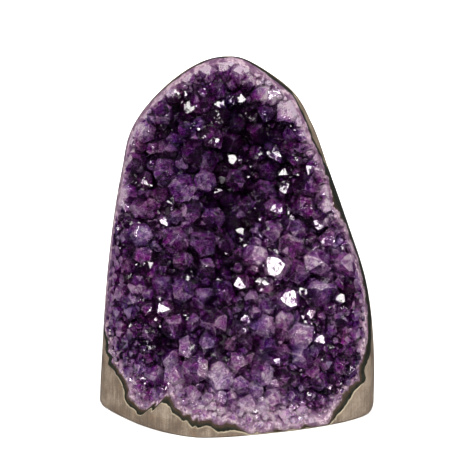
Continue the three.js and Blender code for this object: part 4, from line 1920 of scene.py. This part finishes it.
    def solids(self) -> list[bpy.types.Mesh]:
        """All the crystals, as meshes of crystals that don't touch each other.

        Returns:
            The meshes, with a number for each crystal and one for each face.
        """
        draw = np.random.default_rng(self.seed + 1)
        points, numbers, face, middle, reach = self.grown(draw)
        count, sides = len(middle), len(self.normals)
        own, facet = draw.random(count), draw.random(count * sides)
        own[: len(self.chosen)] = [one.own for one in self.chosen]
        group = self.classes(middle, reach)
        log.info("%d crystals in %d classes", count, group.max() + 1)
        meshes = []
        for rank in range(group.max() + 1):
            mine = group[face // sides] == rank
            used, renumbered = np.unique(numbers[mine], return_inverse=True)
            faces, sizes = np.unique(face[mine], return_counts=True)
            mesh = Solid.from_faces(f"crystals_{rank}", points[used], renumbered.ravel(), sizes)
            Solid.mark(mesh, Domain.FACE, own=own[faces // sides], facet=facet[faces])
            meshes.append(mesh)
        return meshes

    def richness(self, points: Array) -> Array:
        """How deep the violet is, with painted shade: less near the rim, where it is milky, darker inwards,
        to the left and a little to the right, and darker with painted shade in the deep of the hollow and its
        pits.

        Args:
            points: Points of the crystals.

        Returns:
            The depth of violet and painted shade of each.
        """
        layers, mouth = self.layers, self.layers.mouth
        angle, inside = layers.angle(points), layers.inside(points)
        pale = mouth.pale_width(angle)
        start, end = self.milky_falls
        milky = mouth.milky.at(angle) * (1 - smoothstep(inside, start * pale, end * pale))
        patches = layers.relief_noise.layers(points + self.patch_shift, self.patch_size, 2)
        inner = self.inner_richness.at(layers.below(points))
        sides = self.left_richness.at(-points[:, 0]) + self.right_richness.at(points[:, 0])
        richness = self.plain_richness + self.patch_richness * patches + inner + sides
        richness = richness - self.milky_paleness * milky
        # Painted shade in the deep of the hollow and its pits, less where the crystals are milky.
        richness = richness + self.recess_richness * layers.recess(points) * (1 - milky)
        return np.clip(richness, 0, self.most_richness)

    def build(self, block: bpy.types.Mesh) -> bpy.types.Mesh:
        """Unites the crystals and grinds them flush with the block.

        Args:
            block: The whole block.

        Returns:
            The finished mesh.
        """
        layers = self.layers
        first, *others = self.solids()
        back = layers.front_of("roots", layers.feet(self.root_kept), self.root_turns, self.root_rings)
        steps = [(Joining.UNION, others), (Joining.COMMON, [block]), (Joining.COMMON, [back])]
        mesh = Solid.triangles(Solid.combined(self.name, first, steps), ("own", "facet"))
        points = Solid.points(mesh)
        richness, below = self.richness(points), layers.below(points)
        stand, column = layers.stand(points), layers.columns(points)
        Solid.mark(mesh, Domain.POINT, richness=richness, below=below, stand=stand, column=column)
        return mesh


@dataclass(frozen=True)
class Softbox:
    """A soft light: its place, width and height, power in watts, spread in degrees, and what it faces.

    One that isn't mirrored lights the floor and the object, but leaves no highlights.
    """

    name: str
    place: tuple[float, float, float]
    size: tuple[float, float]
    power: float
    spread: float = 180.0
    aim: tuple[float, float, float] = (0.0, 0.0, 0.06)
    mirrored: bool = True


@dataclass(frozen=True)
class Studio:
    """The pale floor, the soft lights and the camera."""

    target: tuple[float, float, float] = (-0.0015, 0.0039, 0.0585)
    distance: float = 0.7
    elevation: float = 18.0
    frame_width: float = 0.155
    sensor: float = 36.0
    lamp_colour: Colour = (1.0, 0.98, 0.955)
    world: Colour = (0.84, 0.72, 1.0)
    world_strength: float = 0.07
    floor_reach: float = 2.0
    softboxes: tuple[Softbox, ...] = (
        Softbox("top", (0.10, -0.36, 0.82), (0.24, 0.24), 0.48, 70.0),
        Softbox("top_left", (-0.42, -0.42, 0.66), (0.16, 0.16), 0.19, 60.0),
        Softbox("left", (-0.70, -0.44, 0.30), (0.18, 0.26), 0.35, 60.0),
        Softbox("right", (0.70, -0.40, 0.34), (0.18, 0.26), 0.35, 60.0),
        Softbox("front", (0.22, -0.84, 0.34), (0.11, 0.11), 0.085, 50.0),
        Softbox("top_right", (0.46, -0.50, 0.60), (0.12, 0.12), 0.105, 60.0),
        Softbox("front_left", (-0.34, -0.80, 0.42), (0.11, 0.11), 0.09, 60.0),
        Softbox("fill", (0.0, -0.55, 0.75), (0.3, 0.3), 1.25, 70.0, (0.0, 0.0, 0.06), False),
        Softbox("behind", (0.0, 0.95, 0.8), (0.6, 0.6), 9.0, 80.0, (0.0, 0.6, 0.0), False),
    )

    def eye(self) -> Vector:
        """Where the camera stands, in metres: in front of the object and above it."""
        rise = math.radians(self.elevation)
        return Vector(self.target) + Vector((0, -math.cos(rise), math.sin(rise))) * self.distance

    def light(self, softbox: Softbox) -> None:
        """Adds a soft light.

        Args:
            softbox: What the light is like.
        """
        data = bpy.data.lights.new(softbox.name, "AREA")
        data.shape = "RECTANGLE"
        data.size, data.size_y = softbox.size
        data.energy = softbox.power
        data.spread = math.radians(softbox.spread)
        data.color = self.lamp_colour
        lamp = bpy.data.objects.new(softbox.name, data)
        lamp.location = softbox.place
        lamp.visible_glossy = softbox.mirrored
        aim = Vector(softbox.aim) - lamp.location
        lamp.rotation_euler = aim.to_track_quat("-Z", "Y").to_euler()
        bpy.context.scene.collection.objects.link(lamp)

    def floor(self) -> None:
        """Adds the floor."""
        corners = np.array([(-1, -1, 0), (1, -1, 0), (1, 1, 0), (-1, 1, 0)]) * self.floor_reach / MM
        mesh = Solid.from_faces("floor", corners, np.arange(4), np.array([4]))
        mesh.materials.append(FloorFinish().build())
        plane = bpy.data.objects.new("floor", mesh)
        bpy.context.scene.collection.objects.link(plane)
        plane.visible_glossy = False

    def sky(self) -> None:
        """Sets the even light from all round."""
        world = bpy.data.worlds.new("studio")
        world.use_nodes = True
        background = world.node_tree.nodes["Background"]
        background.inputs["Color"].default_value = (*self.world, 1.0)
        background.inputs["Strength"].default_value = self.world_strength
        bpy.context.scene.world = world

    def camera(self) -> None:
        """Adds the camera, aimed at the object."""
        data = bpy.data.cameras.new("camera")
        data.sensor_width = self.sensor
        data.lens = self.sensor * self.distance / self.frame_width
        camera = bpy.data.objects.new("camera", data)
        camera.location = self.eye()
        camera.rotation_euler = (Vector(self.target) - self.eye()).to_track_quat("-Z", "Y").to_euler()
        bpy.context.scene.collection.objects.link(camera)
        bpy.context.scene.camera = camera

    def build(self) -> None:
        """Adds the floor, the lights and the camera."""
        self.floor()
        self.sky()
        for softbox in self.softboxes:
            self.light(softbox)
        self.camera()
        bpy.context.scene.view_settings.view_transform = "Standard"


def main() -> None:
    """Builds the pieces in order."""
    logging.basicConfig(level=logging.INFO, format="%(message)s")
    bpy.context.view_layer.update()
    layers = Layers(Mouth(GroundBlock()))
    matrix = BasaltMatrix(layers)
    matrix.dress(matrix.build())
    block = matrix.whole("block_for_layers")
    for layer in (DarkRind(layers), QuartzBed(layers)):
        layer.dress(layer.build(block))
    studio = Studio()
    crystals = AmethystCrystals(layers, studio=studio)
    crystals.dress(crystals.build(matrix.whole("block_for_crystals", crystals.under_ground_face)))
    studio.build()


if __name__ == "__main__":
    main()
